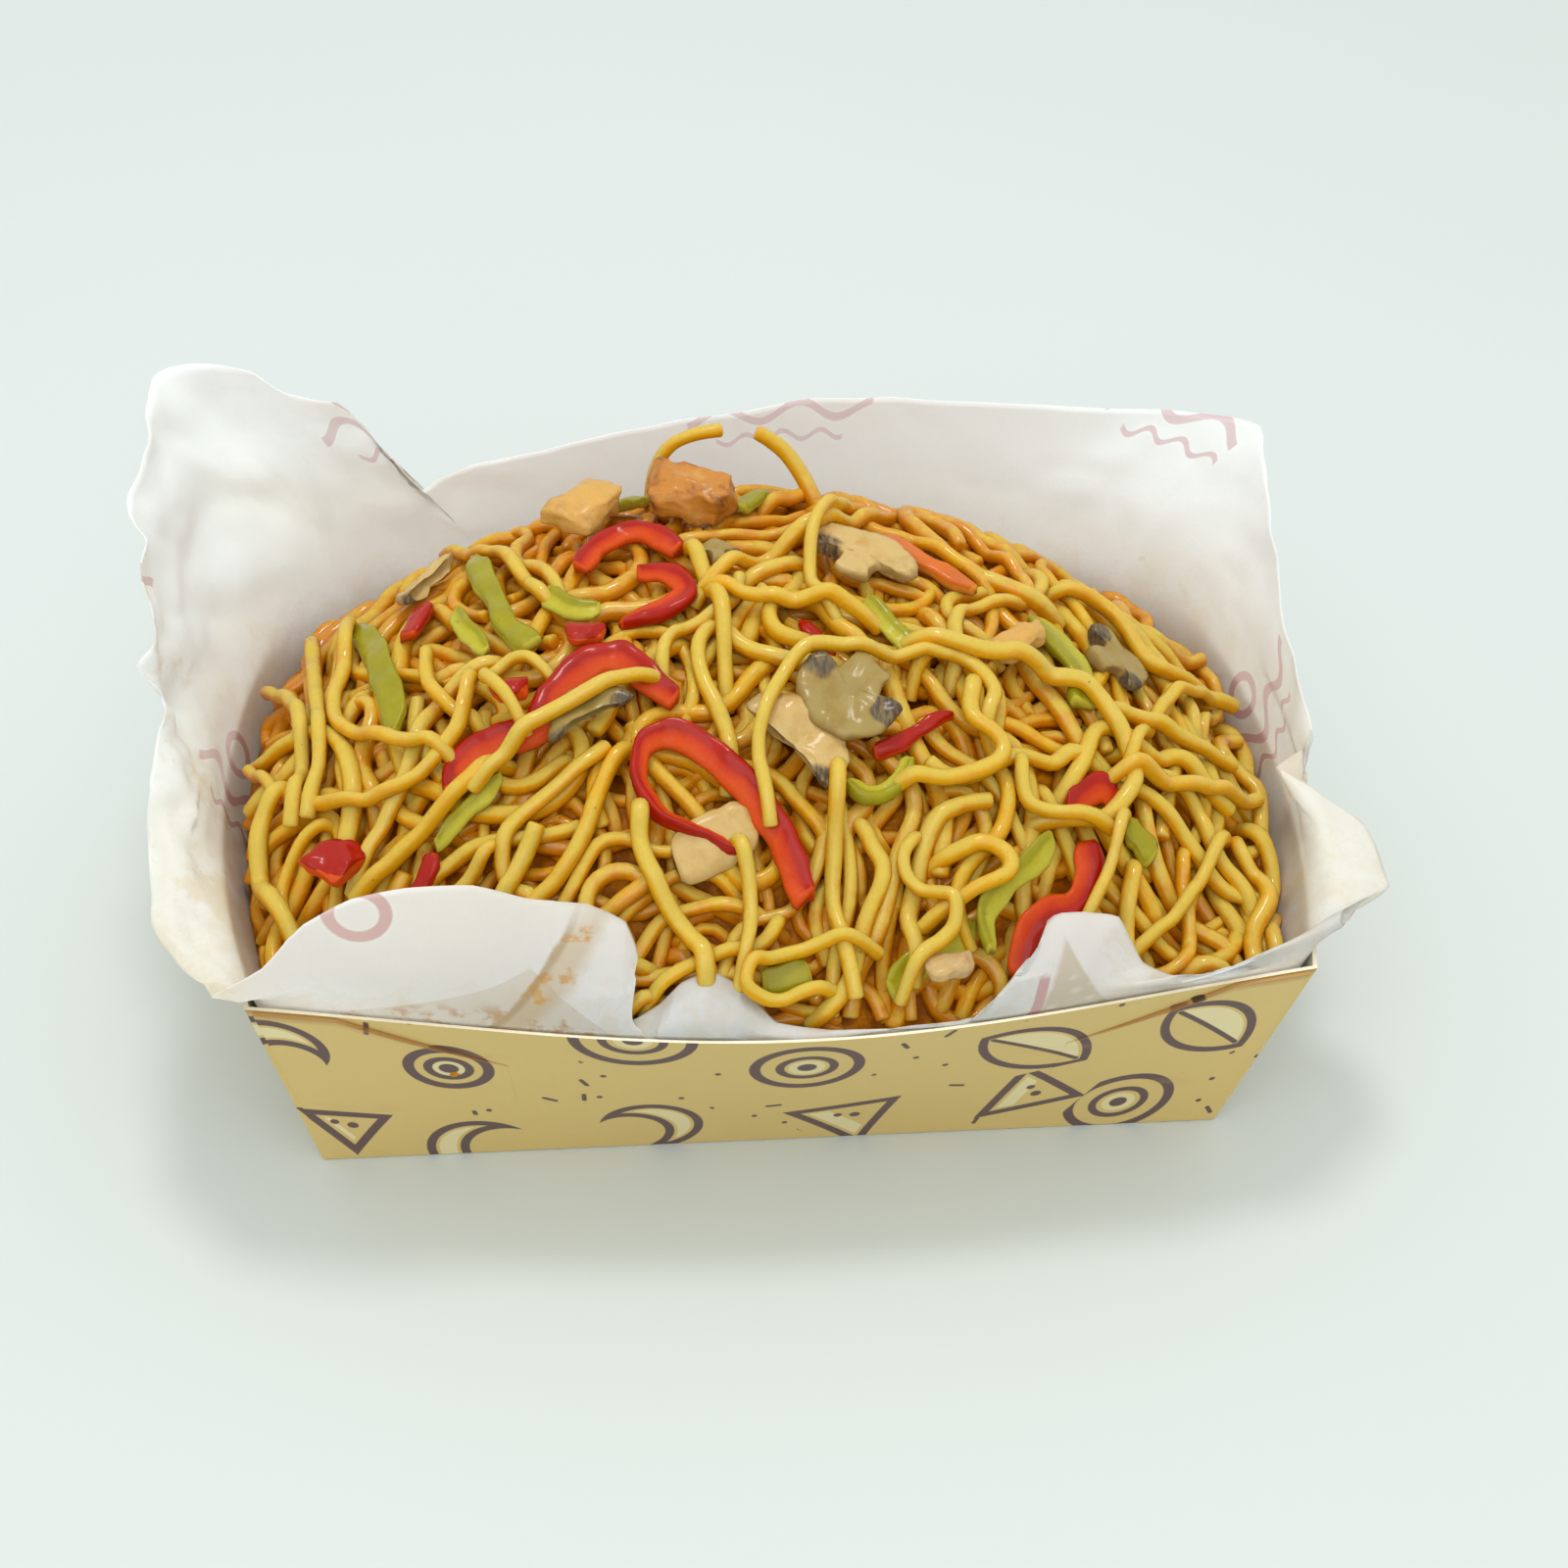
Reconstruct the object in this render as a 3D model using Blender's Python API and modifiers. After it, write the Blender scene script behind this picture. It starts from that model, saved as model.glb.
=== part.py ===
"""Takeaway box of fried noodles: a flared card tray, a paper liner and a heap with vegetables.

Sizes are in millimetres until a mesh is made. The origin is the middle of the underside
of the tray, +X runs along its long side, the front is -Y and +Z is up.
"""
import math
import random

import bmesh
import bpy
from mathutils import Vector
from mathutils.bvhtree import BVHTree

MM = 0.001

# Tray
BASE_LENGTH = 156.0
BASE_DEPTH = 98.0
TRAY_HEIGHT = 45.0
FLARE = 8.0
BULGE = 9.0
RIM_DIP = 2.8
CARD = 0.6
TAB_RELIEF = 0.35
SLIT_FROM_CORNER = 14.0
SLIT_RUN = 25.0
SLIT_DROP = 12.0

# Liner
PAPER = 0.36
LINER_GAP = 0.55
LINER_FLOOR = CARD + 0.3
COLUMN_GAP = 9.0

# Heap
HEAP_LEFT = 92.0
HEAP_RIGHT = 87.0
HEAP_FRONT = 63.0
HEAP_BACK = 62.0
HEAP_PEAK = 80.0
PEAK_X = -4.0
PEAK_Y = 20.0
EDGE_FRONT = 41.0
EDGE_SIDE = 45.0
EDGE_BACK = 57.0
NOODLE = 2.8
GAP = 0.3
FUSE_DEPTH = 0.9
CORE_DEPTH = 2.2
NOODLE_STEP = 5.0
NOODLE_TRIANGLES = 4300

random.seed(21)


# Scene and object helpers

def clear_scene():
    for item in list(bpy.data.objects):
        bpy.data.objects.remove(item, do_unlink=True)


def make_collection(name):
    group = bpy.data.collections.new(name)
    bpy.context.scene.collection.children.link(group)
    return group


def make_material(name, colour, roughness, coat=0.0):
    material = bpy.data.materials.new(name)
    material.use_nodes = True
    shader = material.node_tree.nodes["Principled BSDF"]
    shader.inputs["Base Color"].default_value = (*colour, 1.0)
    shader.inputs["Roughness"].default_value = roughness
    shader.inputs["Metallic"].default_value = 0.0
    shader.inputs["Coat Weight"].default_value = coat
    material.diffuse_color = (*colour, 1.0)
    return material


def add_object(name, points, faces, group, material=None):
    mesh = bpy.data.meshes.new(name)
    mesh.from_pydata([(x * MM, y * MM, z * MM) for x, y, z in points], [], faces)
    item = bpy.data.objects.new(name, mesh)
    group.objects.link(item)
    if material:
        mesh.materials.append(material)
    return item


def add_solidify(item, thickness, offset):
    shell = item.modifiers.new("Thickness", "SOLIDIFY")
    shell.thickness = thickness * MM
    shell.offset = offset
    return shell


def apply_modifiers(item):
    bpy.context.view_layer.update()
    graph = bpy.context.evaluated_depsgraph_get()
    mesh = bpy.data.meshes.new_from_object(item.evaluated_get(graph))
    old = item.data
    item.modifiers.clear()
    item.data = mesh
    bpy.data.meshes.remove(old)


def join_collection(item, tools, solver):
    union = item.modifiers.new("Union", "BOOLEAN")
    union.operation = "UNION"
    union.operand_type = "COLLECTION"
    union.collection = tools
    union.solver = solver
    apply_modifiers(item)
    for tool in list(tools.objects):
        bpy.data.objects.remove(tool, do_unlink=True)


def make_tool_collection(name):
    tools = make_collection(name)
    tools.hide_render = True
    return tools


def mark_tool(item):
    item.display_type = "WIRE"
    item.hide_render = True


def surface_tree(item):
    """Search tree over an object's evaluated faces, in millimetres."""
    bpy.context.view_layer.update()
    graph = bpy.context.evaluated_depsgraph_get()
    shape = item.evaluated_get(graph)
    mesh = shape.to_mesh()
    mesh.calc_loop_triangles()
    points = [shape.matrix_world @ vertex.co / MM for vertex in mesh.vertices]
    faces = [tuple(face.vertices) for face in mesh.loop_triangles]
    shape.to_mesh_clear()
    return BVHTree.FromPolygons(points, faces), points, faces


def loft(loops, close_first=False, close_last=False):
    """Points and faces through closed loops with equal counts."""
    count = len(loops[0])
    points = [point for loop in loops for point in loop]
    faces = []
    for level in range(len(loops) - 1):
        for index in range(count):
            after = (index + 1) % count
            low = level * count
            high = low + count
            faces.append((low + index, low + after, high + after, high + index))
    if close_first:
        faces.append(tuple(reversed(range(count))))
    if close_last:
        start = (len(loops) - 1) * count
        faces.append(tuple(range(start, start + count)))
    return points, faces


def smooth_path(knots, step):
    """Catmull-Rom curve through the knots, with evenly spaced points."""
    ends = [2 * knots[0] - knots[1]] + list(knots) + [2 * knots[-1] - knots[-2]]
    fine = []
    for index in range(1, len(ends) - 2):
        before, start, stop, after = ends[index - 1:index + 3]
        for part in range(12):
            t = part / 12
            fine.append(0.5 * (2 * start + (stop - before) * t
                               + (2 * before - 5 * start + 4 * stop - after) * t ** 2
                               + (3 * start - before - 3 * stop + after) * t ** 3))
    fine.append(knots[-1])
    total = sum((b - a).length for a, b in zip(fine, fine[1:]))
    count = max(2, round(total / step))
    result = [fine[0]]
    travelled = 0.0
    for a, b in zip(fine, fine[1:]):
        length = (b - a).length
        while len(result) < count and travelled + length >= len(result) * total / count:
            share = (len(result) * total / count - travelled) / length
            result.append(a.lerp(b, share))
        travelled += length
    result.append(fine[-1])
    return result


# Tray and liner walls

def wall_point(side, along, height, inset, rounding=0.0):
    """Point on the tray wall: side 0 front, 1 right, 2 back, 3 left, along from 0 to 1."""
    share = height / TRAY_HEIGHT
    half_x = BASE_LENGTH / 2 + FLARE * share
    half_y = BASE_DEPTH / 2 + FLARE * share
    across = 2 * along - 1
    bow = BULGE * math.sin(math.pi * along) * max(share, 0.0) ** 1.2
    dip = RIM_DIP * math.sin(math.pi * along) ** 2 * share
    if side == 0:
        x, y = across * half_x, -half_y - bow
    elif side == 1:
        x, y = half_x + bow, across * half_y
    elif side == 2:
        x, y = -across * half_x, half_y + bow
    else:
        x, y = -half_x - bow, -across * half_y
    if rounding:
        reach = (abs(x / (half_x + bow)) ** rounding + abs(y / (half_y + bow)) ** rounding) ** (1 / rounding)
        shrink = 1 / max(reach, 1.0)
        x, y = x * shrink, y * shrink
    x -= inset * x / (abs(x) + 1e-9) * min(1.0, abs(x) / (half_x - 6.0)) ** 8
    y -= inset * y / (abs(y) + 1e-9) * min(1.0, abs(y) / (half_y - 6.0)) ** 8
    return x, y, height - dip


def build_tray(group, material):
    steps = 12
    loops = []
    for height in (0.0, 15.0, 30.0, TRAY_HEIGHT):
        loops.append([wall_point(side, step / steps, height, 0.0)
                      for side in range(4) for step in range(steps)])
    points, faces = loft(loops, close_first=True)
    tray = add_object("card_tray", points, faces, group, material)
    shell = add_solidify(tray, CARD, -1.0)
    shell.use_even_offset = True
    apply_modifiers(tray)
    tools = make_tool_collection("corner_tabs")
    for side in (0, 2):
        for end in (0, 1):
            add_corner_tab(side, end, tools)
    join_collection(tray, tools, "EXACT")
    return tray


def add_corner_tab(side, end, tools):
    """Corner piece that stands proud of the wall below its diagonal locking slit."""
    length = BASE_LENGTH + 2 * FLARE
    rows = []
    for distance in (4.0, SLIT_FROM_CORNER, 26.0, SLIT_FROM_CORNER + SLIT_RUN):
        along = distance / length
        fall = max(0.0, (distance - SLIT_FROM_CORNER) / SLIT_RUN) * SLIT_DROP
        top = TRAY_HEIGHT - 1.2 - fall
        rows.append([wall_point(side, 1 - along if end else along, z, 0.0)
                     for z in (17.0, (17.0 + top) / 2, top)])
    points = [point for row in rows for point in row]
    faces = []
    for row in range(len(rows) - 1):
        for level in range(2):
            a = row * 3 + level
            faces.append((a, a + 3, a + 4, a + 1) if not end else (a, a + 1, a + 4, a + 3))
    tab = add_object("corner_tab", points, faces, tools)
    add_solidify(tab, 2 * TAB_RELIEF, 0.0)
    mark_tool(tab)


# Free edge of the liner, from the front left corner round the front, right, back and left
FRONT_EDGE = [
    (-91, -55, 48), (-82, -56, 54), (-75, -55, 62), (-68, -54, 65.5), (-60, -53, 66),
    (-50, -52, 65), (-41, -51, 61), (-32, -50, 59), (-26, -51.5, 56), (-24, -55.5, 51.5),
    (-27.5, -59, 46), (-26, -60, 42.5), (-21.5, -58, 44), (-18, -56.5, 47), (-13, -55.5, 48),
    (-8, -57.5, 45.5), (-3, -62, 42), (6, -63.5, 40.8), (14, -63.5, 41.3), (22, -63.5, 41.8),
    (31, -63, 41.5), (36, -60.5, 42), (38, -56, 48), (41, -53, 54), (47, -52, 55),
    (53, -52, 53.5), (57, -56, 47), (63, -59, 45.5), (70, -60, 46), (77, -58, 46.5),
    (88, -52, 47.5),
]
RIGHT_EDGE = [
    (102, -42, 48.5), (102, -27, 49.5), (95, -21, 52), (89, -14, 52), (97, -9, 54.5),
    (97, 2, 59), (97, 20, 61), (96, 34, 70),
]
BACK_EDGE = [
    (99, 55, 79), (86, 62, 78), (74, 64, 77.5), (62, 64, 78), (46, 64, 79), (28, 64, 80),
    (14, 64, 80), (1, 64, 78), (-10, 63, 77), (-21, 63, 74.5), (-36, 62, 72),
    (-50, 61, 71), (-57, 60, 66.5), (-61, 59, 62), (-66, 55, 75), (-73, 55, 87),
    (-82, 56, 89), (-92, 58, 91),
]
LEFT_EDGE = [
    (-105, 58, 92), (-108, 28, 86), (-105, 11, 80.5), (-103, 4, 70), (-101, 0, 63),
    (-104, -13, 56), (-103, -27, 52), (-101, -42, 49), (-96, -50, 47.5),
]
LINER_EDGE = [FRONT_EDGE, RIGHT_EDGE, BACK_EDGE, LEFT_EDGE]


def liner_columns():
    """Side, position along it and free edge point of each fold of the liner."""
    columns = []
    for side, edge in enumerate(LINER_EDGE):
        axis = side % 2
        start = edge[0][axis]
        stop = LINER_EDGE[(side + 1) % 4][0][axis]
        along = 0.0
        for index, point in enumerate(edge):
            wanted = (point[axis] - start) / (stop - start)
            along = max(along + 0.008, wanted) if index else 0.0
            columns.append((side, along, Vector(point)))
    return fill_wide_gaps(columns)


def fill_wide_gaps(columns):
    """Adds columns in between, so that the sheet rounds the corners of the tray."""
    filled = []
    for index, (side, along, edge) in enumerate(columns):
        after_side, after_along, after_edge = columns[(index + 1) % len(columns)]
        if after_side != side:
            after_along = 1.0
        length = BASE_DEPTH if side % 2 else BASE_LENGTH
        pieces = max(1, round((after_along - along) * length / COLUMN_GAP))
        for piece in range(pieces):
            share = piece / pieces
            filled.append((side, along + (after_along - along) * share, edge.lerp(after_edge, share)))
    return filled


def liner_wall(side, along, height, inset=0.0):
    """Wall of the liner, rounder at the two back corners than at the front ones."""
    at_front = side == 0 or (side == 1 and along < 0.5) or (side == 3 and along > 0.5)
    rounding = 22.0 - 4.0 * height / TRAY_HEIGHT if at_front else 9.0 - 4.0 * height / TRAY_HEIGHT
    return wall_point(side, along, height, CARD + LINER_GAP + inset, rounding)


def build_liner(group, material):
    columns = liner_columns()
    loops = [[], [], [], [], [], []]
    for side, along, edge in columns:
        top_height = min(TRAY_HEIGHT + 1.0, edge.z - 1.5 + RIM_DIP)
        top = Vector(liner_wall(side, along, top_height))
        foot = liner_wall(side, along, 1.0, 0.6)
        loops[0].append((foot[0], foot[1], LINER_FLOOR + PAPER / 2))
        loops[1].append(liner_wall(side, along, top_height * 0.38, 0.2))
        loops[2].append(liner_wall(side, along, top_height * 0.74))
        loops[3].append(tuple(top))
        middle = top.lerp(edge, 0.5)
        middle.z += 0.12 * (edge - top).length if edge.z < 60 else 0.0
        loops[4].append(tuple(middle))
        loops[5].append(tuple(edge))
    points, faces = loft(loops, close_first=True)
    liner = add_object("paper_liner", points, faces, group, material)
    add_solidify(liner, PAPER, 0.0)
    apply_modifiers(liner)
    return liner


# Heap surface

def heap_height(x, y):
    """Top of the heap over a point of the plan."""
    reach_x = HEAP_LEFT if x < PEAK_X else HEAP_RIGHT
    reach_y = HEAP_FRONT if y < 0 else HEAP_BACK
    power = 2.1
    radius = (abs(x / reach_x) ** power + abs(y / reach_y) ** power) ** (1 / power)
    inside = min(radius, 1.0)
    turn = math.sin(math.atan2(y / reach_y, x / reach_x)) ** 2
    edge = EDGE_SIDE + ((EDGE_FRONT if y < 0 else EDGE_BACK) - EDGE_SIDE) * turn
    u = (x - PEAK_X * (1 - inside)) / reach_x
    v = (y - PEAK_Y * (1 - inside)) / reach_y
    rise = min((abs(u) ** power + abs(v) ** power) ** (1 / power), 1.0)
    return edge + (HEAP_PEAK - edge) * (1 - rise ** 2.6) - 70.0 * max(radius - 1.0, 0.0)


def build_core(group, material):
    """Inner body of the heap, one noodle thickness below its top."""
    steps = 8
    sides = [(side, step / steps) for side in range(4) for step in range(steps)]
    loops = []
    for height in (1.0, 22.0):
        loops.append([liner_wall(side, along, height, 2.4) for side, along in sides])
    loops[0] = [(x, y, LINER_FLOOR + PAPER + GAP) for x, y, z in loops[0]]
    rim = [liner_wall(side, along, 40.0, 2.6 if side else 3.4) for side, along in sides]
    for share in (1.0, 0.9, 0.77, 0.6, 0.38):
        loop = []
        for x, y, z in rim:
            px = PEAK_X + (x - PEAK_X) * share
            py = PEAK_Y + (y - PEAK_Y) * share
            loop.append((px, py, heap_height(px, py) - CORE_DEPTH))
        loops.append(loop)
    points, faces = loft(loops, close_first=True)
    points.append((PEAK_X, PEAK_Y, heap_height(PEAK_X, PEAK_Y) - CORE_DEPTH))
    start = (len(loops) - 1) * len(sides)
    for index in range(len(sides)):
        faces.append((start + index, start + (index + 1) % len(sides), len(points) - 1))
    return add_object("noodles", points, faces, group, material)


class HeapField:
    """Heights of what is laid so far, on a square grid over the heap."""

    def __init__(self, tree, reach_x=96, reach_y=70):
        self.reach_x = reach_x
        self.reach_y = reach_y
        self.cells = {}
        for i in range(-reach_x, reach_x + 1):
            for j in range(-reach_y, reach_y + 1):
                hit = tree.ray_cast(Vector((i, j, 200.0)), Vector((0, 0, -1)))
                self.cells[i, j] = hit[0].z if hit[0] else heap_height(i, j) - CORE_DEPTH

    def height(self, x, y):
        i, j = math.floor(x), math.floor(y)
        s, t = x - i, y - j
        corners = [self.cells.get((i + a, j + b), 0.0) for a, b in ((0, 0), (1, 0), (0, 1), (1, 1))]
        low = corners[0] + (corners[1] - corners[0]) * s
        high = corners[2] + (corners[3] - corners[2]) * s
        return low + (high - low) * t

    def rest(self, x, y, radius):
        """Centre height of a ball that lies on the heap at a point."""
        best = self.height(x, y) + radius
        for i in range(math.ceil(x - radius), math.floor(x + radius) + 1):
            for j in range(math.ceil(y - radius), math.floor(y + radius) + 1):
                flat = (i - x) ** 2 + (j - y) ** 2
                if flat < radius ** 2:
                    best = max(best, self.cells.get((i, j), 0.0) + math.sqrt(radius ** 2 - flat))
        return best

    def raise_ball(self, x, y, z, radius):
        for i in range(math.ceil(x - radius), math.floor(x + radius) + 1):
            for j in range(math.ceil(y - radius), math.floor(y + radius) + 1):
                flat = (i - x) ** 2 + (j - y) ** 2
                if flat < radius ** 2 and (i, j) in self.cells:
                    top = z + math.sqrt(radius ** 2 - flat)
                    self.cells[i, j] = max(self.cells[i, j], top)

    def raise_tree(self, tree, points):
        for i in range(math.floor(min(p.x for p in points)), math.ceil(max(p.x for p in points)) + 1):
            for j in range(math.floor(min(p.y for p in points)), math.ceil(max(p.y for p in points)) + 1):
                hit = tree.ray_cast(Vector((i, j, 200.0)), Vector((0, 0, -1)))
                if hit[0] and (i, j) in self.cells:
                    self.cells[i, j] = max(self.cells[i, j], hit[0].z)


# Toppings

def face_samples(points, faces):
    samples = list(points)
    for face in faces:
        a, b, c = (points[index] for index in face)
        samples.append((a + b + c) / 3)
        samples.extend(((a + b) / 2, (b + c) / 2, (c + a) / 2))
    return samples


def settle(item, laid):
    """Raises a topping until it clears everything already laid by the gap."""
    for attempt in range(80):
        tree, points, faces = surface_tree(item)
        samples = face_samples(points, faces)
        near = 1e9
        for other in laid:
            if tree.overlap(other):
                near = -0.2
                break
            for sample in samples:
                found = other.find_nearest(sample, 2.0)
                if found[0] is not None:
                    near = min(near, found[3])
        if near >= GAP:
            return tree, points
        item.location.z += (GAP - near + 0.08) * MM
    raise RuntimeError(item.name + " finds no room on the heap")


def add_strip(name, knots, width, thickness, group, material, field, tilt=0.0, end_width=0.55):
    """Cut strip of vegetable that lies along a plan path and follows the heap."""
    path = smooth_path([Vector((x, y, 0.0)) for x, y in knots], 5.0)
    count = len(path)
    rows = []
    for index, point in enumerate(path):
        ahead = path[min(index + 1, count - 1)] - path[max(index - 1, 0)]
        ahead.normalize()
        side = Vector((-ahead.y, ahead.x, 0.0))
        share = index / (count - 1)
        taper = end_width + (1 - end_width) * math.sin(math.pi * share) ** 0.5
        half = 0.5 * width * taper
        left, right = point + side * half, point - side * half
        left.z = field.rest(left.x, left.y, 1.0) - 1.0 + GAP
        right.z = field.rest(right.x, right.y, 1.0) - 1.0 + GAP + tilt * taper
        rows.append([left, right])
    for passes in range(2):
        soft = [[corner.z for corner in row] for row in rows]
        for index in range(1, count - 1):
            for corner in (0, 1):
                level = (soft[index - 1][corner] + 2 * soft[index][corner] + soft[index + 1][corner]) / 4
                rows[index][corner].z = max(rows[index][corner].z, level)
    points = [tuple(corner) for row in rows for corner in row]
    faces = [(2 * i, 2 * i + 1, 2 * i + 3, 2 * i + 2) for i in range(count - 1)]
    item = add_object(name, points, faces, group, material)
    add_solidify(item, thickness, 1.0)
    apply_modifiers(item)
    return item


def add_slice(name, centre, outline, thickness, turn, lean, group, material, field):
    """Flat slice that lies on the slope of the heap."""
    x, y = centre
    slope = Vector((field.height(x - 6, y) - field.height(x + 6, y),
                    field.height(x, y - 6) - field.height(x, y + 6), 12.0)).normalized()
    slope = (slope + Vector((lean[0], lean[1], 0.0))).normalized()
    across = Vector((math.cos(turn), math.sin(turn), 0.0))
    across = (across - slope * across.dot(slope)).normalized()
    up = slope.cross(across)
    middle = Vector((x, y, field.height(x, y) + GAP))
    points = [tuple(middle + across * a + up * b) for a, b in outline]
    item = add_object(name, points, [tuple(range(len(points)))], group, material)
    add_solidify(item, thickness, 1.0)
    apply_modifiers(item)
    return item


def add_chunk(name, centre, size, turn, group, material, field):
    """Cut or torn lump with uneven flat sides and blunt edges."""
    shape = bmesh.new()
    bmesh.ops.create_cube(shape, size=1.0)
    draw = random.Random(name)
    cos, sin = math.cos(turn), math.sin(turn)
    for vertex in shape.verts:
        a, b, c = (vertex.co[axis] * size[axis] * (1.0 + draw.uniform(-0.28, 0.12)) for axis in range(3))
        vertex.co = Vector((centre[0] + a * cos - b * sin, centre[1] + a * sin + b * cos, c)) * MM
    bmesh.ops.bevel(shape, geom=shape.edges, offset=0.16 * size[2] * MM, segments=1, affect="EDGES")
    mesh = bpy.data.meshes.new(name)
    shape.to_mesh(mesh)
    shape.free()
    mesh.materials.append(material)
    item = bpy.data.objects.new(name, mesh)
    group.objects.link(item)
    item.location.z = (field.height(*centre) + 0.3 * size[2]) * MM
    return item


def mushroom_outline(width, height, stem):
    """Half cap over a stem, as a lengthwise cut shows it."""
    points = []
    for step in range(9):
        angle = math.pi * step / 8
        points.append((0.5 * width * math.cos(angle), 0.62 * height * math.sin(angle)))
    curl = 0.12 * height
    points.extend(((-0.42 * width, -curl), (-0.5 * stem, -0.3 * curl), (-0.42 * stem, -0.38 * height),
                   (0.42 * stem, -0.38 * height), (0.5 * stem, -0.3 * curl), (0.42 * width, -curl)))
    return points


STRIPS = [
    ("mushroom_under_loop", "mushroom", [(-18, -41.5), (-12, -39), (-5.5, -36.5)], 9.0, 1.8, 0.0, 0.7),
    ("pepper_red_loop", "red_pepper", [(-7.5, -41), (-14, -38.5), (-20, -35), (-23, -30.5), (-22.5, -25.5),
                                       (-18, -23.5), (-12, -27), (-8, -30.5), (-4, -34.5), (-1, -40), (2.5, -48)],
     5.6, 3.0, 0.0, 0.75),
    ("pepper_red_wave", "red_pepper", [(-53.5, -26.5), (-52, -22), (-46, -20), (-40, -19.5), (-36, -14),
                                       (-31, -9.5), (-25.5, -8.5), (-21, -13), (-17, -17.5)], 6.0, 2.6, 0.0, 0.6),
    ("pepper_red_arch", "red_pepper", [(-31.5, 14), (-28.5, 20), (-23.5, 24), (-18, 22.5), (-14.5, 16.5)],
     4.6, 2.8, 0.0, 0.7),
    ("pepper_red_hook", "red_pepper", [(-21.5, 12.5), (-16.5, 11), (-13.5, 7), (-17, 3), (-25, 0)], 4.4, 2.4, 0.0, 0.6),
    ("pepper_red_right", "red_pepper", [(50.5, -36), (50.5, -40.5), (47.5, -45), (41.5, -48), (38.5, -51),
                                        (37, -55)], 5.4, 2.6, 0.0, 0.7),
    ("pepper_red_bow", "red_pepper", [(49, -32), (50.5, -28.5), (54.5, -26), (57.5, -27)], 4.2, 2.2, 0.0, 0.7),
    ("pepper_red_curl", "red_pepper", [(15.5, -26), (19.5, -24.5), (24, -21.5), (29.5, -19)], 2.6, 1.6, 0.0, 0.4),
    ("pepper_red_shred", "red_pepper", [(5, -0.5), (7.5, -4), (10.5, -8)], 2.4, 1.5, 0.0, 0.4),
    ("pepper_red_stub", "red_pepper", [(-61, 9), (-59.5, 12.5), (-58.5, 16.5)], 4.6, 2.2, 0.0, 0.8),
    ("pepper_red_sliver", "red_pepper", [(-60, -38.5), (-58.5, -36.5), (-56.5, -34)], 3.4, 2.0, 0.0, 0.7),
    ("pepper_orange_back", "orange_pepper", [(22.5, 22.5), (25.5, 18.5), (30, 15), (37, 9.5)], 4.4, 2.2, 0.0, 0.5),
    ("pepper_green_left", "green_pepper", [(-72, 24), (-68.5, 14.5), (-65.5, 2.5), (-63.5, -6), (-63.5, -12.5)],
     4.8, 2.4, 0.0, 0.7),
    ("pepper_green_tall", "green_pepper", [(-50, 28), (-47, 14), (-44, 3), (-40, -3.5)], 4.4, 2.4, 0.0, 0.7),
    ("pepper_green_low", "green_pepper", [(-53, 11), (-50.5, 4), (-47.5, -2)], 3.4, 1.8, 0.0, 0.6),
    ("pepper_green_back", "green_pepper", [(-37.5, 9), (-33, 4), (-28.5, 3)], 4.0, 2.0, 0.0, 0.6),
    ("pepper_green_top", "green_pepper", [(-25.5, 40), (-22, 42), (-18, 41)], 4.6, 2.4, 0.0, 0.8),
    ("pepper_green_crest", "green_pepper", [(-2.5, 32), (0, 36), (3, 40)], 4.2, 2.2, 0.0, 0.8),
    ("pepper_green_bar", "green_pepper", [(17, 4), (20, -1), (24.5, -7.5)], 4.2, 2.0, 0.0, 0.7),
    ("pepper_green_wide", "green_pepper", [(47, 6), (51.5, 0.5), (54, -5), (53, -12)], 6.4, 2.2, 0.0, 0.7),
    ("pepper_green_curl", "green_pepper", [(10, -31), (13, -33), (17.5, -32), (21.5, -27.5)], 3.2, 2.0, 0.0, 0.6),
    ("pepper_green_slant", "green_pepper", [(-56.5, -33), (-51, -29.5), (-45, -25.5)], 3.0, 1.8, 0.0, 0.5),
    ("pepper_green_front", "green_pepper", [(15.5, -58), (18, -56), (22.5, -53.5), (30, -50)], 4.2, 2.2, 0.0, 0.6),
    ("pepper_green_fork", "green_pepper", [(32, -54), (31.5, -50), (35, -46), (39.5, -42.5), (44, -38.5)],
     3.6, 2.0, 0.0, 0.6),
    ("pepper_green_end", "green_pepper", [(58.5, -31.5), (60.5, -33), (62.5, -35)], 5.0, 2.6, 0.0, 0.9),
    ("pepper_green_sunk", "green_pepper", [(-5, -57), (-1.5, -56.5), (2.5, -56)], 4.0, 2.0, 0.0, 0.8),
]

SLICES = [
    ("mushroom_cream", "mushroom", (1.0, -28.0), (19.0, 15.0, 6.0), 2.2, math.radians(-52), (0.0, 0.0)),
    ("mushroom_dark", "dark_mushroom", (12.5, -18.5), (19.0, 14.0, 6.5), 2.4, math.radians(-28), (0.0, 0.0)),
    ("mushroom_back", "mushroom", (17.0, 12.5), (21.0, 13.0, 6.0), 2.2, math.radians(-28), (0.0, 0.0)),
    ("mushroom_left", "mushroom", (-57.5, 24.0), (13.0, 10.0, 5.0), 2.2, math.radians(70), (0.0, 0.0)),
    ("mushroom_right", "dark_mushroom", (61.5, 2.5), (14.0, 11.0, 5.0), 2.2, math.radians(-60), (0.0, 0.0)),
    ("mushroom_grey", "dark_mushroom", (-30.5, -21.5), (12.0, 9.0, 4.5), 2.0, math.radians(20), (0.0, 0.0)),
    ("mushroom_crest", "dark_mushroom", (-7.5, 15.5), (9.0, 7.0, 3.5), 2.0, math.radians(10), (0.0, 0.0)),
]

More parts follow.
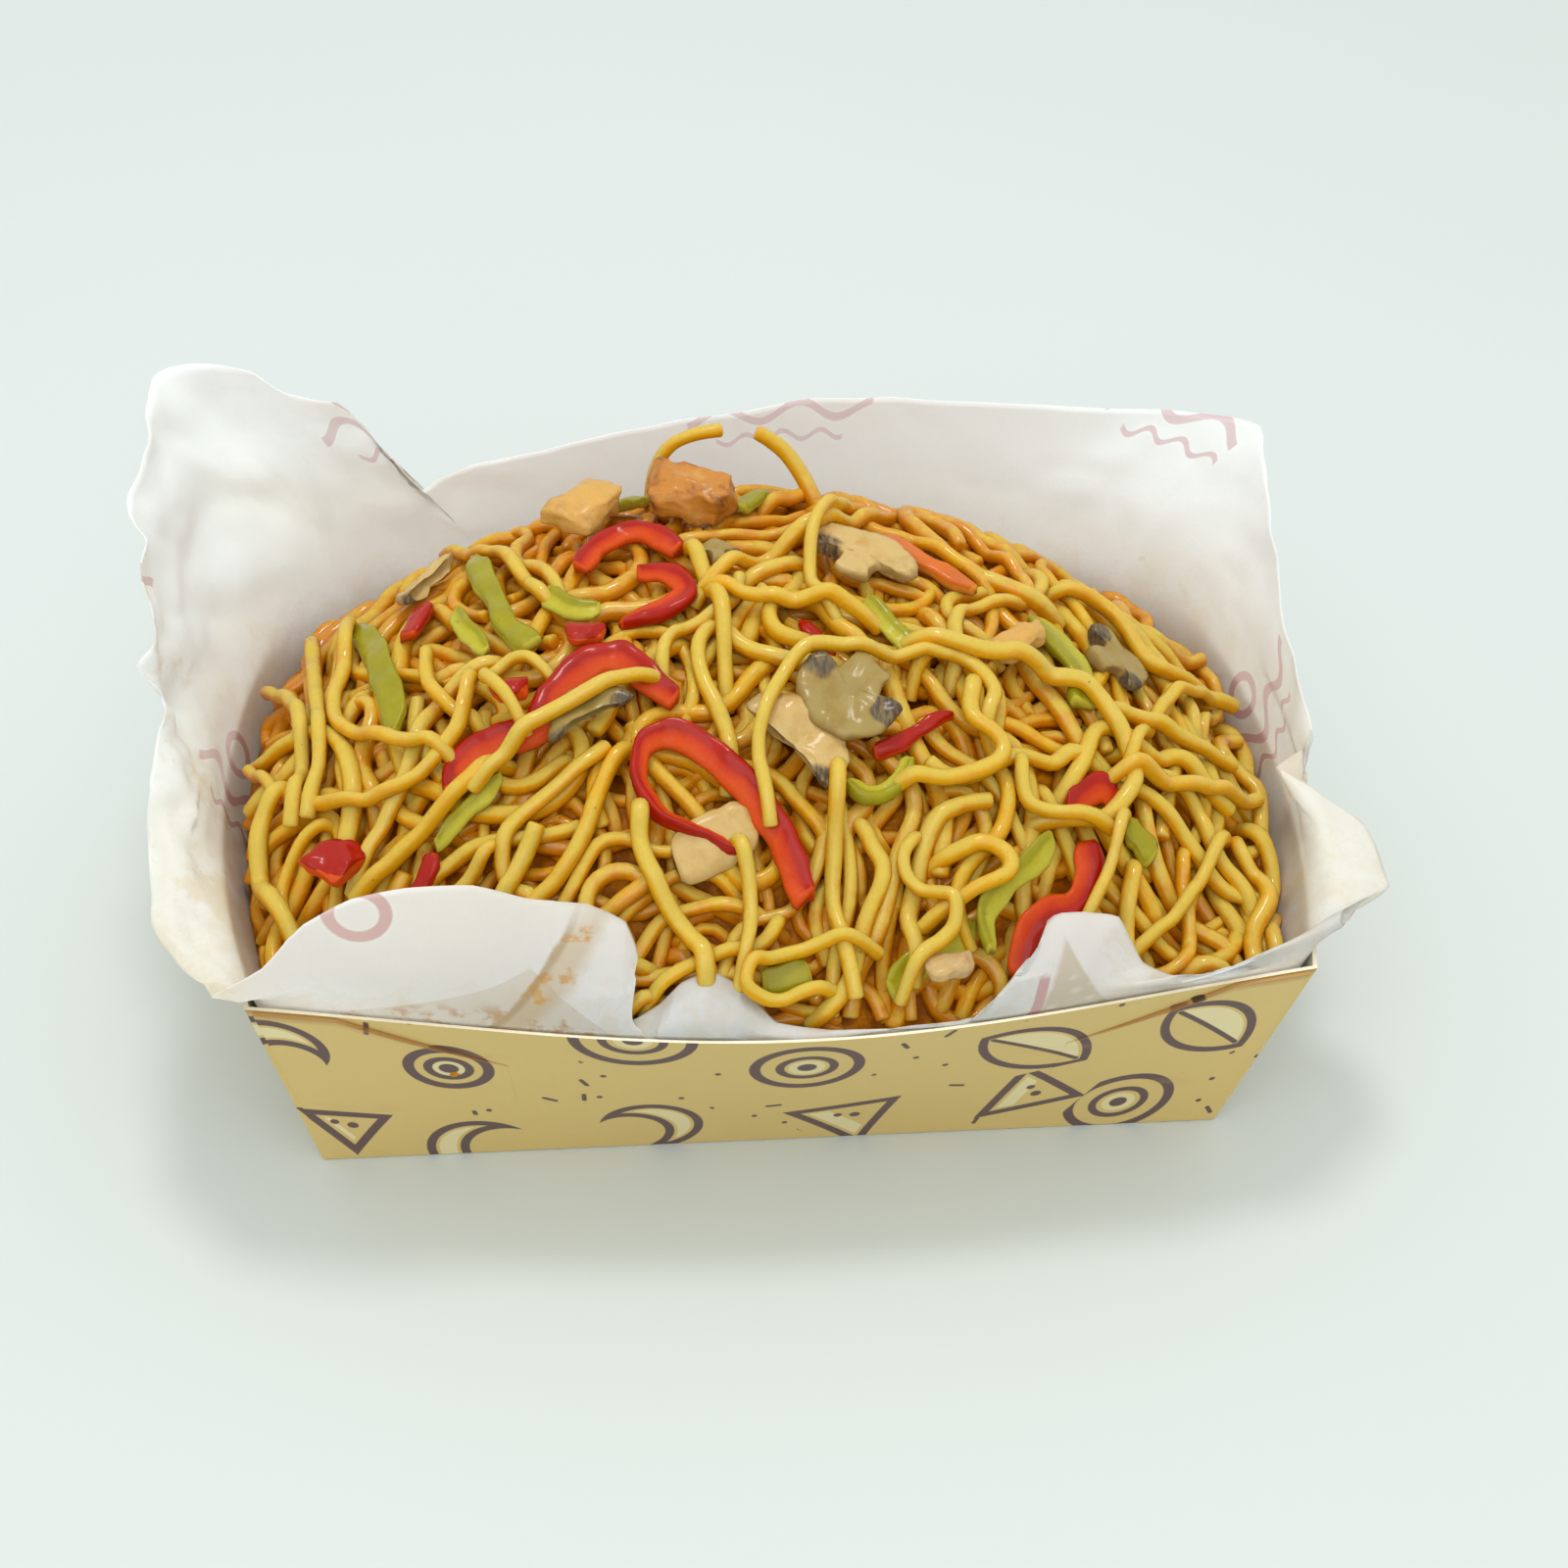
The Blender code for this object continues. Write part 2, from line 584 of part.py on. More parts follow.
CHUNKS = [
    ("chunk_left", "fried_chunk", (-31.5, 32.0), (14.0, 11.0, 8.0), math.radians(35)),
    ("chunk_crest", "brown_chunk", (-12.0, 32.0), (14.0, 11.0, 8.0), math.radians(-15)),
    ("chunk_right", "fried_chunk", (43.0, -3.5), (12.0, 5.5, 4.0), math.radians(45)),
    ("onion_front", "onion", (24.5, -58.0), (8.0, 5.0, 3.0), math.radians(10)),
    ("pepper_red_nugget", "red_pepper", (-31.0, -3.5), (6.5, 4.5, 3.0), math.radians(0)),
    ("pepper_red_corner", "red_pepper", (-72.5, -31.5), (9.0, 8.0, 4.0), math.radians(40)),
    ("pepper_red_tucked", "red_pepper", (-43.5, -14.5), (6.0, 4.0, 3.0), math.radians(10)),
]


def build_toppings(group, materials, field, laid):
    for name, kind, knots, width, thickness, tilt, end_width in STRIPS:
        item = add_strip(name, knots, width, thickness, group, materials[kind], field, tilt, end_width)
        tree, points = settle(item, laid)
        laid.append(tree)
        field.raise_tree(tree, points)
    for name, kind, centre, size, thickness, turn, lean in SLICES:
        outline = mushroom_outline(*size)
        item = add_slice(name, centre, outline, thickness, turn, lean, group, materials[kind], field)
        tree, points = settle(item, laid)
        laid.append(tree)
        field.raise_tree(tree, points)
    for name, kind, centre, size, turn in CHUNKS:
        item = add_chunk(name, centre, size, turn, group, materials[kind], field)
        tree, points = settle(item, laid)
        laid.append(tree)
        field.raise_tree(tree, points)


# Noodles

SHOWN_NOODLES = [
    [(-4, -21), (-1, -16), (7, -10.5), (17, -9.5), (28, -9), (35, -12), (36.5, -18)],
    [(29, -7), (39, -10), (49.5, -9.5), (57.5, -14), (60.5, -22), (60, -28)],
    [(32, -15.5), (32, -20.5), (37, -25), (34, -29.5), (23, -31)],
    [(40, -27), (40.5, -32), (45, -35.5), (46, -39)],
    [(28.5, -40.5), (33.5, -40.5), (36, -44.5), (33.5, -47), (27, -48.5)],
    [(20.5, -39), (18.5, -43), (25.5, -49), (22, -55), (14, -59)],
    [(-8, -43), (-6.5, -47), (-7, -52), (-10, -57)],
    [(9, -35), (7, -44), (9, -55)],
    [(8, -51.5), (0, -52.5), (-9, -57), (-4, -60), (4, -59)],
    [(-24, -38), (-21.5, -45), (-16.5, -50.5), (-13, -55)],
    [(-87, -5), (-82.5, -13), (-73, -21.5), (-62, -24.5), (-55, -19), (-51, -9)],
    [(-73, 18), (-73.5, 4), (-70, -9), (-62, -16), (-56, -18)],
    [(-80, 18), (-78.5, 4), (-76, -9), (-77, -17)],
    [(-64, -33), (-56, -27.5), (-47, -16)],
    [(-48, -14), (-46, -8), (-40, -7), (-37, -10)],
    [(-45, -26.5), (-36, -27.5), (-27, -30)],
    [(-11.5, 13), (-9.5, 4), (-8, -9)],
    [(-7, 10), (1, 14), (7, 19), (16, 26), (24, 32)],
    [(13, 26), (9, 19), (7.5, 9), (10, 3)],
    [(-6.5, 5), (2, 1), (13, 0.5)],
    [(55, 17), (65, 14), (73, 7), (83, 8)],
    [(62, -24), (72, -21.5), (84, -17)],
    [(62, -18.5), (67, -9), (77, 3.5)],
    [(58, -47), (68, -40.5), (77, -28)],
    [(50, -48), (56, -42), (57, -36)],
    [(-84, -14), (-86, -22), (-80, -36)],
]

# Loose ends that stand up from the crest, as points in space
LOOSE_ENDS = [
    [(-17.5, 45, 66), (-16.8, 45.5, 76), (-14.5, 46.5, 81), (-10, 47, 83.5), (-4.8, 47.5, 84.3)],
    [(2, 46, 84.5), (6.5, 45, 81.5), (10, 42, 77.5), (13, 37, 72.5)],
]


def clear_run(path, blocked):
    """Longest run of a path that keeps its distance from toppings and liner."""
    best = []
    run = []
    for point in path:
        if all(tree.find_nearest(point, NOODLE / 2 + 1.2)[0] is None for tree in blocked):
            run.append(point)
        else:
            run = []
        if len(run) > len(best):
            best = list(run)
    return best


def lay_path(knots, field):
    """Path on the heap: it rests on what is below and bridges the hollows."""
    path = smooth_path([Vector((x, y, 0.0)) for x, y in knots], 1.5)
    for point in path:
        point.z = field.rest(point.x, point.y, NOODLE / 2) - FUSE_DEPTH
    for passes in range(3):
        levels = [point.z for point in path]
        for index in range(1, len(path) - 1):
            soft = (levels[index - 1] + 2 * levels[index] + levels[index + 1]) / 4
            path[index].z = max(levels[index], soft)
    return path


def add_noodle(name, path, thickness, tools):
    line = bpy.data.curves.new(name, "CURVE")
    line.dimensions = "3D"
    line.bevel_depth = thickness / 2 * MM
    line.bevel_resolution = 1
    line.use_fill_caps = True
    spline = line.splines.new("POLY")
    count = max(3, round(1.5 * len(path) / NOODLE_STEP) + 1)
    spline.points.add(count - 1)
    for index in range(count):
        point = path[round(index * (len(path) - 1) / (count - 1))]
        spline.points[index].co = (*(point * MM), 1.0)
    curve = bpy.data.objects.new(name, line)
    tools.objects.link(curve)
    bpy.context.view_layer.update()
    graph = bpy.context.evaluated_depsgraph_get()
    mesh = bpy.data.meshes.new_from_object(curve.evaluated_get(graph))
    shape = bmesh.new()
    shape.from_mesh(mesh)
    bmesh.ops.remove_doubles(shape, verts=shape.verts, dist=0.00001)
    bmesh.ops.recalc_face_normals(shape, faces=shape.faces)
    bmesh.ops.triangulate(shape, faces=shape.faces)
    shape.to_mesh(mesh)
    triangles = len(shape.faces)
    shape.free()
    item = bpy.data.objects.new(name, mesh)
    item.matrix_world = curve.matrix_world
    tools.objects.link(item)
    bpy.data.objects.remove(curve, do_unlink=True)
    bpy.data.curves.remove(line)
    mark_tool(item)
    return triangles


def random_knots(draw):
    """Plan path that wanders with a slowly changing bend."""
    angle = draw.uniform(0, 2 * math.pi)
    radius = 0.92 * math.sqrt(draw.random())
    x = radius * HEAP_RIGHT * math.cos(angle)
    y = radius * 0.95 * HEAP_BACK * math.sin(angle)
    heading = draw.uniform(0, 2 * math.pi)
    bend = draw.uniform(-0.5, 0.5)
    knots = [(x, y)]
    for step in range(draw.randint(5, 9)):
        heading += bend
        bend = max(-0.8, min(0.8, bend + draw.uniform(-0.35, 0.35)))
        x += 8 * math.cos(heading)
        y += 8 * math.sin(heading)
        if (x / 84.0) ** 2 + (y / 59.0) ** 2 > 1.0:
            break
        knots.append((x, y))
    return knots


def lay_noodle(name, knots, field, blocked, tools, covered, shortest, share):
    path = clear_run(lay_path(knots, field), blocked)
    if len(path) * 1.5 < shortest:
        return 0
    cells = {(round(point.x / 3), round(point.y / 3)) for point in path}
    if len(cells & covered) > share * len(cells):
        return 0
    covered |= cells
    for point in path:
        field.raise_ball(point.x, point.y, point.z, NOODLE / 2)
    return add_noodle(name, path, NOODLE * random.uniform(0.93, 1.07), tools)


def build_noodles(core, field, blocked):
    tools = make_tool_collection("laid_noodles")
    covered = set()
    spent = 0
    for index, knots in enumerate(SHOWN_NOODLES):
        spent += lay_noodle("shown_%02d" % index, knots, field, blocked, tools, covered, 9.0, 1.0)
    for index, knots in enumerate(LOOSE_ENDS):
        path = smooth_path([Vector(knot) for knot in knots], 1.5)
        spent += add_noodle("loose_%02d" % index, path, NOODLE, tools)
    draw = random.Random(5)
    for attempt in range(900):
        if spent > NOODLE_TRIANGLES:
            break
        knots = random_knots(draw)
        if len(knots) > 3:
            spent += lay_noodle("filler_%03d" % attempt, knots, field, blocked, tools, covered, 22.0, 0.22)
    join_collection(core, tools, "EXACT")


def main():
    clear_scene()
    group = make_collection("noodle_takeaway_box")
    materials = {
        "card": make_material("card", (0.60, 0.47, 0.17), 0.55),
        "paper": make_material("paper", (0.83, 0.83, 0.80), 0.50),
        "noodle": make_material("noodle", (0.78, 0.47, 0.10), 0.35, 0.3),
        "red_pepper": make_material("red_pepper", (0.52, 0.02, 0.01), 0.25, 0.5),
        "orange_pepper": make_material("orange_pepper", (0.72, 0.16, 0.03), 0.30, 0.4),
        "green_pepper": make_material("green_pepper", (0.42, 0.44, 0.04), 0.28, 0.4),
        "mushroom": make_material("mushroom", (0.66, 0.47, 0.20), 0.45, 0.1),
        "dark_mushroom": make_material("dark_mushroom", (0.20, 0.16, 0.08), 0.40, 0.2),
        "fried_chunk": make_material("fried_chunk", (0.66, 0.40, 0.12), 0.50, 0.1),
        "brown_chunk": make_material("brown_chunk", (0.50, 0.22, 0.05), 0.45, 0.1),
        "onion": make_material("onion", (0.68, 0.45, 0.25), 0.35, 0.3),
    }
    build_tray(group, materials["card"])
    liner = build_liner(group, materials["paper"])
    core = build_core(group, materials["noodle"])
    core_tree = surface_tree(core)[0]
    liner_tree = surface_tree(liner)[0]
    field = HeapField(core_tree)
    laid = [core_tree, liner_tree]
    build_toppings(group, materials, field, laid)
    build_noodles(core, HeapField(core_tree), laid[1:])
    for item in group.objects:
        item.data.shade_smooth()
        item.data.set_sharp_from_angle(angle=math.radians(40))


main()
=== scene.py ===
"""Dresses the noodle takeaway box: printed card tray, paper liner, noodles, vegetables and stage."""

import math
import random

import bmesh
import bpy
import numpy as np
from bpy.props import FloatProperty, FloatVectorProperty, IntProperty, PointerProperty
from mathutils import Matrix, Vector, noise


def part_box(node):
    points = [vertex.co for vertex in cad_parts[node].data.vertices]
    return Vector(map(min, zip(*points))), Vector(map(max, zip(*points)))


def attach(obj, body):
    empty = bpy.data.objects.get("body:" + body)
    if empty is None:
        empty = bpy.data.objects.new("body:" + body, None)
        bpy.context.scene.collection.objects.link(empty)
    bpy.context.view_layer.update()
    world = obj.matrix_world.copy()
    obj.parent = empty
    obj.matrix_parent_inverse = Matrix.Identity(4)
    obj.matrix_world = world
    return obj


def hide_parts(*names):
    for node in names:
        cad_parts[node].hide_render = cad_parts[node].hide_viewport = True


bl_info = {
    "name": "Noodle takeaway box",
    "version": (1, 0, 0),
    "blender": (4, 5, 0),
    "location": "3D View > Sidebar > Noodle box",
    "description": "Card tray with a paper liner, a heap of fried noodles and its vegetables",
    "category": "Object",
}

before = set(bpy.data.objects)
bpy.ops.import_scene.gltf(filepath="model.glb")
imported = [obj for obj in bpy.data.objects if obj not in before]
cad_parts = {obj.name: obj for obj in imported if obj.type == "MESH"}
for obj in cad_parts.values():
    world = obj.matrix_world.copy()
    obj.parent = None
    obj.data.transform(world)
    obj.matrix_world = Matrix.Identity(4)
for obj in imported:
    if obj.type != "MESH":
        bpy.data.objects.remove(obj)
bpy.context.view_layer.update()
MM = 0.001

# Sizes shared with the part, in millimetres
BASE_LENGTH = 156.0
BASE_DEPTH = 98.0
TRAY_HEIGHT = 45.0
FLARE = 8.0
BULGE = 9.0
RIM_DIP = 2.8
CARD = 0.6
LINER_GAP = 0.55
SLIT_FROM_CORNER = 14.0
SLIT_RUN = 25.0
SLIT_DROP = 12.0
HEAP_LEFT = 92.0
HEAP_RIGHT = 87.0
HEAP_FRONT = 63.0
HEAP_BACK = 62.0
HEAP_PEAK = 80.0
PEAK_X = -4.0
PEAK_Y = 20.0
EDGE_FRONT = 41.0
EDGE_SIDE = 45.0
EDGE_BACK = 57.0
TOPPING_BED = 2.2
SIDE_RUN = (BASE_LENGTH, BASE_DEPTH, BASE_LENGTH, BASE_DEPTH)
CORNER_RUN = (0.0, BASE_LENGTH, BASE_LENGTH + BASE_DEPTH, 2 * BASE_LENGTH + BASE_DEPTH)

# Millimetres to one unit of the flat coordinates
FLAT_SCALE = 100.0


# Settings

def colour_setting(name, description, default):
    return FloatVectorProperty(name=name, description=description, subtype="COLOR", size=3, default=default)


class TraySettings(bpy.types.PropertyGroup):
    """Card tray and its print."""
    card: colour_setting("Card", "Colour of the outside of the card", (0.63, 0.468, 0.165))
    ink: colour_setting("Ink", "Colour of the printed lines", (0.115, 0.068, 0.062))
    fill: colour_setting("Fill", "Pale colour inside the printed shapes", (0.74, 0.66, 0.37))
    inside: colour_setting("Inside", "Colour of the inside of the card", (0.66, 0.62, 0.52))
    edge: colour_setting("Cut edge", "Colour of the cut edge of the card", (0.86, 0.79, 0.60))
    motif: FloatProperty(name="Motif spacing", default=31.0, min=10.0, max=60.0,
                         description="Distance between the larger printed shapes, in millimetres")


class LinerSettings(bpy.types.PropertyGroup):
    """Paper liner."""
    paper: colour_setting("Paper", "Colour of the clean paper", (0.80, 0.845, 0.82))
    oil: colour_setting("Oil", "Colour of the oily stains", (0.66, 0.50, 0.25))
    ink: colour_setting("Ink", "Colour of the printed marks", (0.42, 0.10, 0.13))
    crumple: FloatProperty(name="Crumple", description="Height of the creases at the free edge",
                           unit="LENGTH", default=0.0013, min=0.0, max=0.005)
    sheet: FloatProperty(name="Sheet", description="Thickness of the paper", unit="LENGTH",
                         default=0.00016, min=0.00005, max=0.0005)


class HeapSettings(bpy.types.PropertyGroup):
    """Noodles of the heap."""
    diameter: FloatProperty(name="Noodle", description="Thickness of a noodle, in millimetres",
                            default=2.9, min=1.5, max=4.0)
    depth: FloatProperty(name="Loose depth", default=8.0, min=3.0, max=15.0,
                         description="Depth of separate noodles under the top, in millimetres")
    seed: IntProperty(name="Seed", description="Start of the random lie of the noodles and of uneven cuts",
                      default=11, min=1)
    pale: colour_setting("Pale", "Colour of a dry noodle", (0.575, 0.418, 0.066))
    # Golden and amber also paint shade: on each noodle's sides and underside, and deeper in the heap
    golden: colour_setting("Golden", "Colour of an oily noodle", (0.615, 0.312, 0.004))
    amber: colour_setting("Amber", "Colour where sauce collects", (0.54, 0.19, 0.002))


class ToppingSettings(bpy.types.PropertyGroup):
    """Vegetables and fried pieces."""
    red: colour_setting("Red pepper", "Colour of the red skin", (0.34, 0.009, 0.002))
    green: colour_setting("Green pepper", "Colour of the green skin", (0.28, 0.25, 0.006))
    orange: colour_setting("Orange pepper", "Colour of the orange piece", (0.56, 0.13, 0.012))
    mushroom: colour_setting("Mushroom", "Colour of a pale mushroom slice", (0.54, 0.38, 0.14))
    gill: colour_setting("Gills", "Colour of the dark gills", (0.07, 0.05, 0.035))
    fried: colour_setting("Fried piece", "Colour of a pale fried piece", (0.58, 0.33, 0.075))
    browned: colour_setting("Browned piece", "Colour of the browned piece", (0.50, 0.20, 0.025))


class StageSettings(bpy.types.PropertyGroup):
    """Floor, light and camera."""
    floor: colour_setting("Floor", "Colour of the table", (0.575, 0.633, 0.618))
    lens: FloatProperty(name="Lens", description="Focal length of the camera, in millimetres",
                        default=54.0, min=20.0, max=200.0)
    azimuth: FloatProperty(name="Azimuth", description="Camera's turn from the front", subtype="ANGLE",
                           default=math.radians(-7.5))
    elevation: FloatProperty(name="Elevation", description="Camera's height angle", subtype="ANGLE",
                             default=math.radians(40.0))
    roll: FloatProperty(name="Roll", description="Camera's tilt", subtype="ANGLE", default=math.radians(3.12))
    distance: FloatProperty(name="Distance", description="Camera's distance from its aim", unit="LENGTH",
                            default=0.437)


# Node expressions

class Value:
    """Output socket of a node that takes part in arithmetic."""

    def __init__(self, nodes, socket):
        self.nodes = nodes
        self.socket = socket

    def math(self, operation, *others):
        return self.nodes.node("ShaderNodeMath", {"operation": operation}, dict(enumerate((self, *others))))

    def __add__(self, other):
        return self.math("ADD", other)

    __radd__ = __add__

    def __sub__(self, other):
        return self.math("SUBTRACT", other)

    def __rsub__(self, other):
        return self.nodes.node("ShaderNodeMath", {"operation": "SUBTRACT"}, {0: other, 1: self})

    def __mul__(self, other):
        return self.math("MULTIPLY", other)

    __rmul__ = __mul__

    def __truediv__(self, other):
        return self.math("DIVIDE", other)

    def __pow__(self, other):
        return self.math("POWER", other)

    def __abs__(self):
        return self.math("ABSOLUTE")

    def most(self, other):
        return self.math("MAXIMUM", other)

    def between(self, low, high):
        """Smooth step from 0 at low to 1 at high."""
        return self.nodes.node("ShaderNodeMapRange", {"interpolation_type": "SMOOTHSTEP"},
                               {"Value": self, "From Min": low, "From Max": high})

    def under(self, low, high):
        """Smooth step from 1 at low to 0 at high."""
        return 1.0 - self.between(low, high)

    def within(self, low, high):
        """1 closer to zero than low, on either side, and 0 further from it than high."""
        return abs(self).under(low, high)


class Nodes:
    """Node tree that values and colours are worked out in."""

    def __init__(self, tree):
        self.tree = tree

    def node(self, kind, settings=None, inputs=None, output=0):
        """Node of a kind, with its settings made first and then its sockets fed."""
        made = self.tree.nodes.new(kind)
        for key, value in (settings or {}).items():
            if key == "stops":
                for element, (place, colour) in zip(made.color_ramp.elements, value):
                    element.position = place
                    element.color = (*colour, 1.0)
            else:
                setattr(made, key, value)
        for key, value in (inputs or {}).items():
            self.feed(made.inputs[key], value)
        return Value(self, made.outputs[output])

    def feed(self, socket, value):
        if isinstance(value, Value):
            self.tree.links.new(value.socket, socket)
        elif socket.type == "RGBA" and len(value) == 3:
            socket.default_value = (*value, 1.0)
        else:
            socket.default_value = value

    def parts(self, vector):
        """The three numbers of a vector."""
        outputs = self.node("ShaderNodeSeparateXYZ", None, {0: vector}).socket.node.outputs
        return [Value(self, output) for output in outputs]


class Finish(Nodes):
    """Material made for one surface, with its Principled shader ready to feed."""

    def __init__(self, name, **uniform):
        self.material = bpy.data.materials.new(name)
        self.material.use_nodes = True
        super().__init__(self.material.node_tree)
        self.shader = self.tree.nodes["Principled BSDF"]
        for key, value in uniform.items():
            self.shader.inputs[key.replace("_", " ").title().replace("Ior", "IOR")].default_value = value

    def surface(self, **inputs):
        names = {"base": "Base Color", "roughness": "Roughness", "normal": "Normal", "coat": "Coat Weight"}
        for key, value in inputs.items():
            self.feed(self.shader.inputs[names[key]], value)
        return self.material

    def mix(self, share, first, second):
        return self.node("ShaderNodeMix", {"data_type": "RGBA", "clamp_factor": True},
                         {0: share, 6: first, 7: second}, 2)

    def layers(self, base, *layers):
        """Colour with others laid over it, each by its own share."""
        for share, colour in layers:
            base = self.mix(share, base, colour)
        return base

    def tint(self, colour, by):
        """Colour brightened or darkened by a value near 1."""
        grey = self.node("ShaderNodeCombineColor", None, {0: by, 1: by, 2: by})
        return self.node("ShaderNodeMix", {"data_type": "RGBA", "blend_type": "MULTIPLY"},
                         {0: 1.0, 6: colour, 7: grey}, 2)

    def place(self):
        """Object coordinates in millimetres."""
        return self.vector("SCALE", self.node("ShaderNodeTexCoord", None, None, "Object"), by=1 / MM)

    def flat(self):
        """Flattened sheet coordinates in millimetres, which the UV map keeps smaller."""
        return self.vector("SCALE", self.node("ShaderNodeUVMap", {"uv_map": "flat"}), by=FLAT_SCALE)

    def kept(self, name):
        """Value that the mesh keeps at its points."""
        return self.node("ShaderNodeAttribute", {"attribute_name": name}, None, "Fac")

    def noise(self, at, size, detail=3.0, roughness=0.5):
        return self.node("ShaderNodeTexNoise", None,
                         {"Vector": at, "Scale": 1.0 / size, "Detail": detail, "Roughness": roughness})

    def cells(self, at, size, settings=None, output="Distance", randomness=1.0):
        return self.node("ShaderNodeTexVoronoi", settings,
                         {"Vector": at, "Scale": 1.0 / size, "Randomness": randomness}, output)

    def vector(self, operation, *values, by=None):
        inputs = dict(enumerate(values))
        if by is not None:
            inputs["Scale"] = by
        return self.node("ShaderNodeVectorMath", {"operation": operation}, inputs)

    def away(self, vector, centre=(0.0, 0.0, 0.0)):
        """Distance from a centre."""
        shifted = self.vector("SUBTRACT", vector, centre)
        return self.node("ShaderNodeVectorMath", {"operation": "LENGTH"}, {0: shifted}, "Value")

    def bump(self, height, distance, strength):
        return self.node("ShaderNodeBump", None,
                         {"Height": height, "Distance": distance * MM, "Strength": strength})


# Mesh helpers

def add_piece(name, points, faces, materials, replaced=(), smooth=True):
    """Mesh object that rides on the box, from points in millimetres."""
    mesh = bpy.data.meshes.new(name)
    mesh.from_pydata((np.asarray(points, dtype=float) * MM).tolist(), [], faces)
    for material in materials:
        mesh.materials.append(material)
    if smooth:
        mesh.shade_smooth()
    piece = bpy.data.objects.new(name, mesh)
    bpy.context.scene.collection.objects.link(piece)
    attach(piece, "root")
    if replaced:
        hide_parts(*replaced)
    return piece


def keep_values(mesh, name, values):
    """Stores one number per point under a name that materials can read."""
    layer = mesh.attributes.new(name, "FLOAT", "POINT")
    layer.data.foreach_set("value", np.asarray(values, dtype=np.float32))


def thicken(piece, thickness):
    """Gives a sheet its thickness, half of it to each side."""
    solid = piece.modifiers.new("Thickness", "SOLIDIFY")
    solid.thickness = thickness
    solid.offset = 0.0
    bpy.context.view_layer.update()
    graph = bpy.context.evaluated_depsgraph_get()
    mesh = bpy.data.meshes.new_from_object(piece.evaluated_get(graph), preserve_all_data_layers=True,
                                           depsgraph=graph)
    sheet = piece.data
    piece.modifiers.clear()
    piece.data = mesh
    bpy.data.meshes.remove(sheet)


def ramp(value, low, high):
    """Share of the way from low to high, held between 0 and 1."""
    return min(1.0, max(0.0, (value - low) / (high - low)))


def smooth_path(knots, step):
    """Catmull-Rom curve through the knots, with evenly spaced points."""
    knots = np.asarray(knots, dtype=float)
    ends = np.vstack((2 * knots[0] - knots[1], knots, 2 * knots[-1] - knots[-2]))
    t = np.linspace(0.0, 1.0, 24, endpoint=False)[:, None]
    fine = [0.5 * (2 * b + (c - a) * t + (2 * a - 5 * b + 4 * c - d) * t ** 2
                   + (3 * b - a - 3 * c + d) * t ** 3)
            for a, b, c, d in zip(ends, ends[1:], ends[2:], ends[3:])]
    fine = np.vstack(fine + [knots[-1:]])
    travelled = np.concatenate(([0.0], np.cumsum(np.linalg.norm(np.diff(fine, axis=0), axis=1))))
    count = max(3, int(round(travelled[-1] / step)) + 1)
    wanted = np.linspace(0.0, travelled[-1], count)
    return np.stack([np.interp(wanted, travelled, fine[:, axis]) for axis in range(fine.shape[1])], axis=1)


# Walls of tray and liner

def wall_point(side, along, height, inset=0.0, rounding=0.0):
    """Point on the tray wall: side 0 front, 1 right, 2 back, 3 left, along from 0 to 1."""
    share = height / TRAY_HEIGHT
    half_x = BASE_LENGTH / 2 + FLARE * share
    half_y = BASE_DEPTH / 2 + FLARE * share
    across = 2 * along - 1
    bow = BULGE * math.sin(math.pi * along) * max(share, 0.0) ** 1.2
    dip = RIM_DIP * math.sin(math.pi * along) ** 2 * share
    if side == 0:
        x, y = across * half_x, -half_y - bow
    elif side == 1:
        x, y = half_x + bow, across * half_y
    elif side == 2:
        x, y = -across * half_x, half_y + bow
    else:
        x, y = -half_x - bow, -across * half_y
    if rounding:
        reach = (abs(x / (half_x + bow)) ** rounding + abs(y / (half_y + bow)) ** rounding) ** (1 / rounding)
        shrink = 1 / max(reach, 1.0)
        x, y = x * shrink, y * shrink
    x -= inset * x / (abs(x) + 1e-9) * min(1.0, abs(x) / (half_x - 6.0)) ** 8
    y -= inset * y / (abs(y) + 1e-9) * min(1.0, abs(y) / (half_y - 6.0)) ** 8
    return x, y, height - dip


def outward_of(side):
    """Plan direction that a side of the tray faces."""
    return ((0, -1), (1, 0), (0, 1), (-1, 0))[side]


class Patches:
    """Grids of points joined into one mesh, each with flat coordinates and a material."""

    def __init__(self):
        self.points = []
        self.faces = []
        self.flat = []
        self.slots = []

    def grid(self, rows, flat, slot, flip=False):
        """Adds a sheet of four-sided faces over rows of points."""
        start = len(self.points)
        width = len(rows[0])
        for row, flat_row in zip(rows, flat):
            self.points.extend(row)
            self.flat.extend(flat_row)
        for row in range(len(rows) - 1):
            for column in range(width - 1):
                a = start + row * width + column
                face = (a, a + 1, a + width + 1, a + width)
                self.faces.append(face[::-1] if flip else face)
                self.slots.append(slot)

    def polygon(self, points, flat, slot):
        """Adds one face round its points."""
        start = len(self.points)
        self.points.extend(points)
        self.flat.extend(flat)
        self.faces.append(tuple(range(start, start + len(points))))
        self.slots.append(slot)

    def build(self, name, materials, slot, replaced, angle):
        """Makes the piece, joined where its patches meet and sharp past an angle."""
        piece = add_piece(name, self.points, self.faces, materials, replaced)
        mesh = piece.data
        mesh.polygons.foreach_set("material_index", self.slots)
        layer = mesh.uv_layers.new(name="flat")
        corners = np.empty(len(mesh.loops), dtype=np.int32)
        mesh.loops.foreach_get("vertex_index", corners)
        flat = np.asarray(self.flat, dtype=np.float32)[corners] / FLAT_SCALE
        layer.data.foreach_set("uv", flat.ravel())
        shape = bmesh.new()
        shape.from_mesh(mesh)
        bmesh.ops.remove_doubles(shape, verts=shape.verts, dist=0.000002)
        shape.to_mesh(mesh)
        shape.free()
        mesh.set_sharp_from_angle(angle=angle)
        return piece


# Tray

FLAT_CELLS = {"voronoi_dimensions": "2D"}

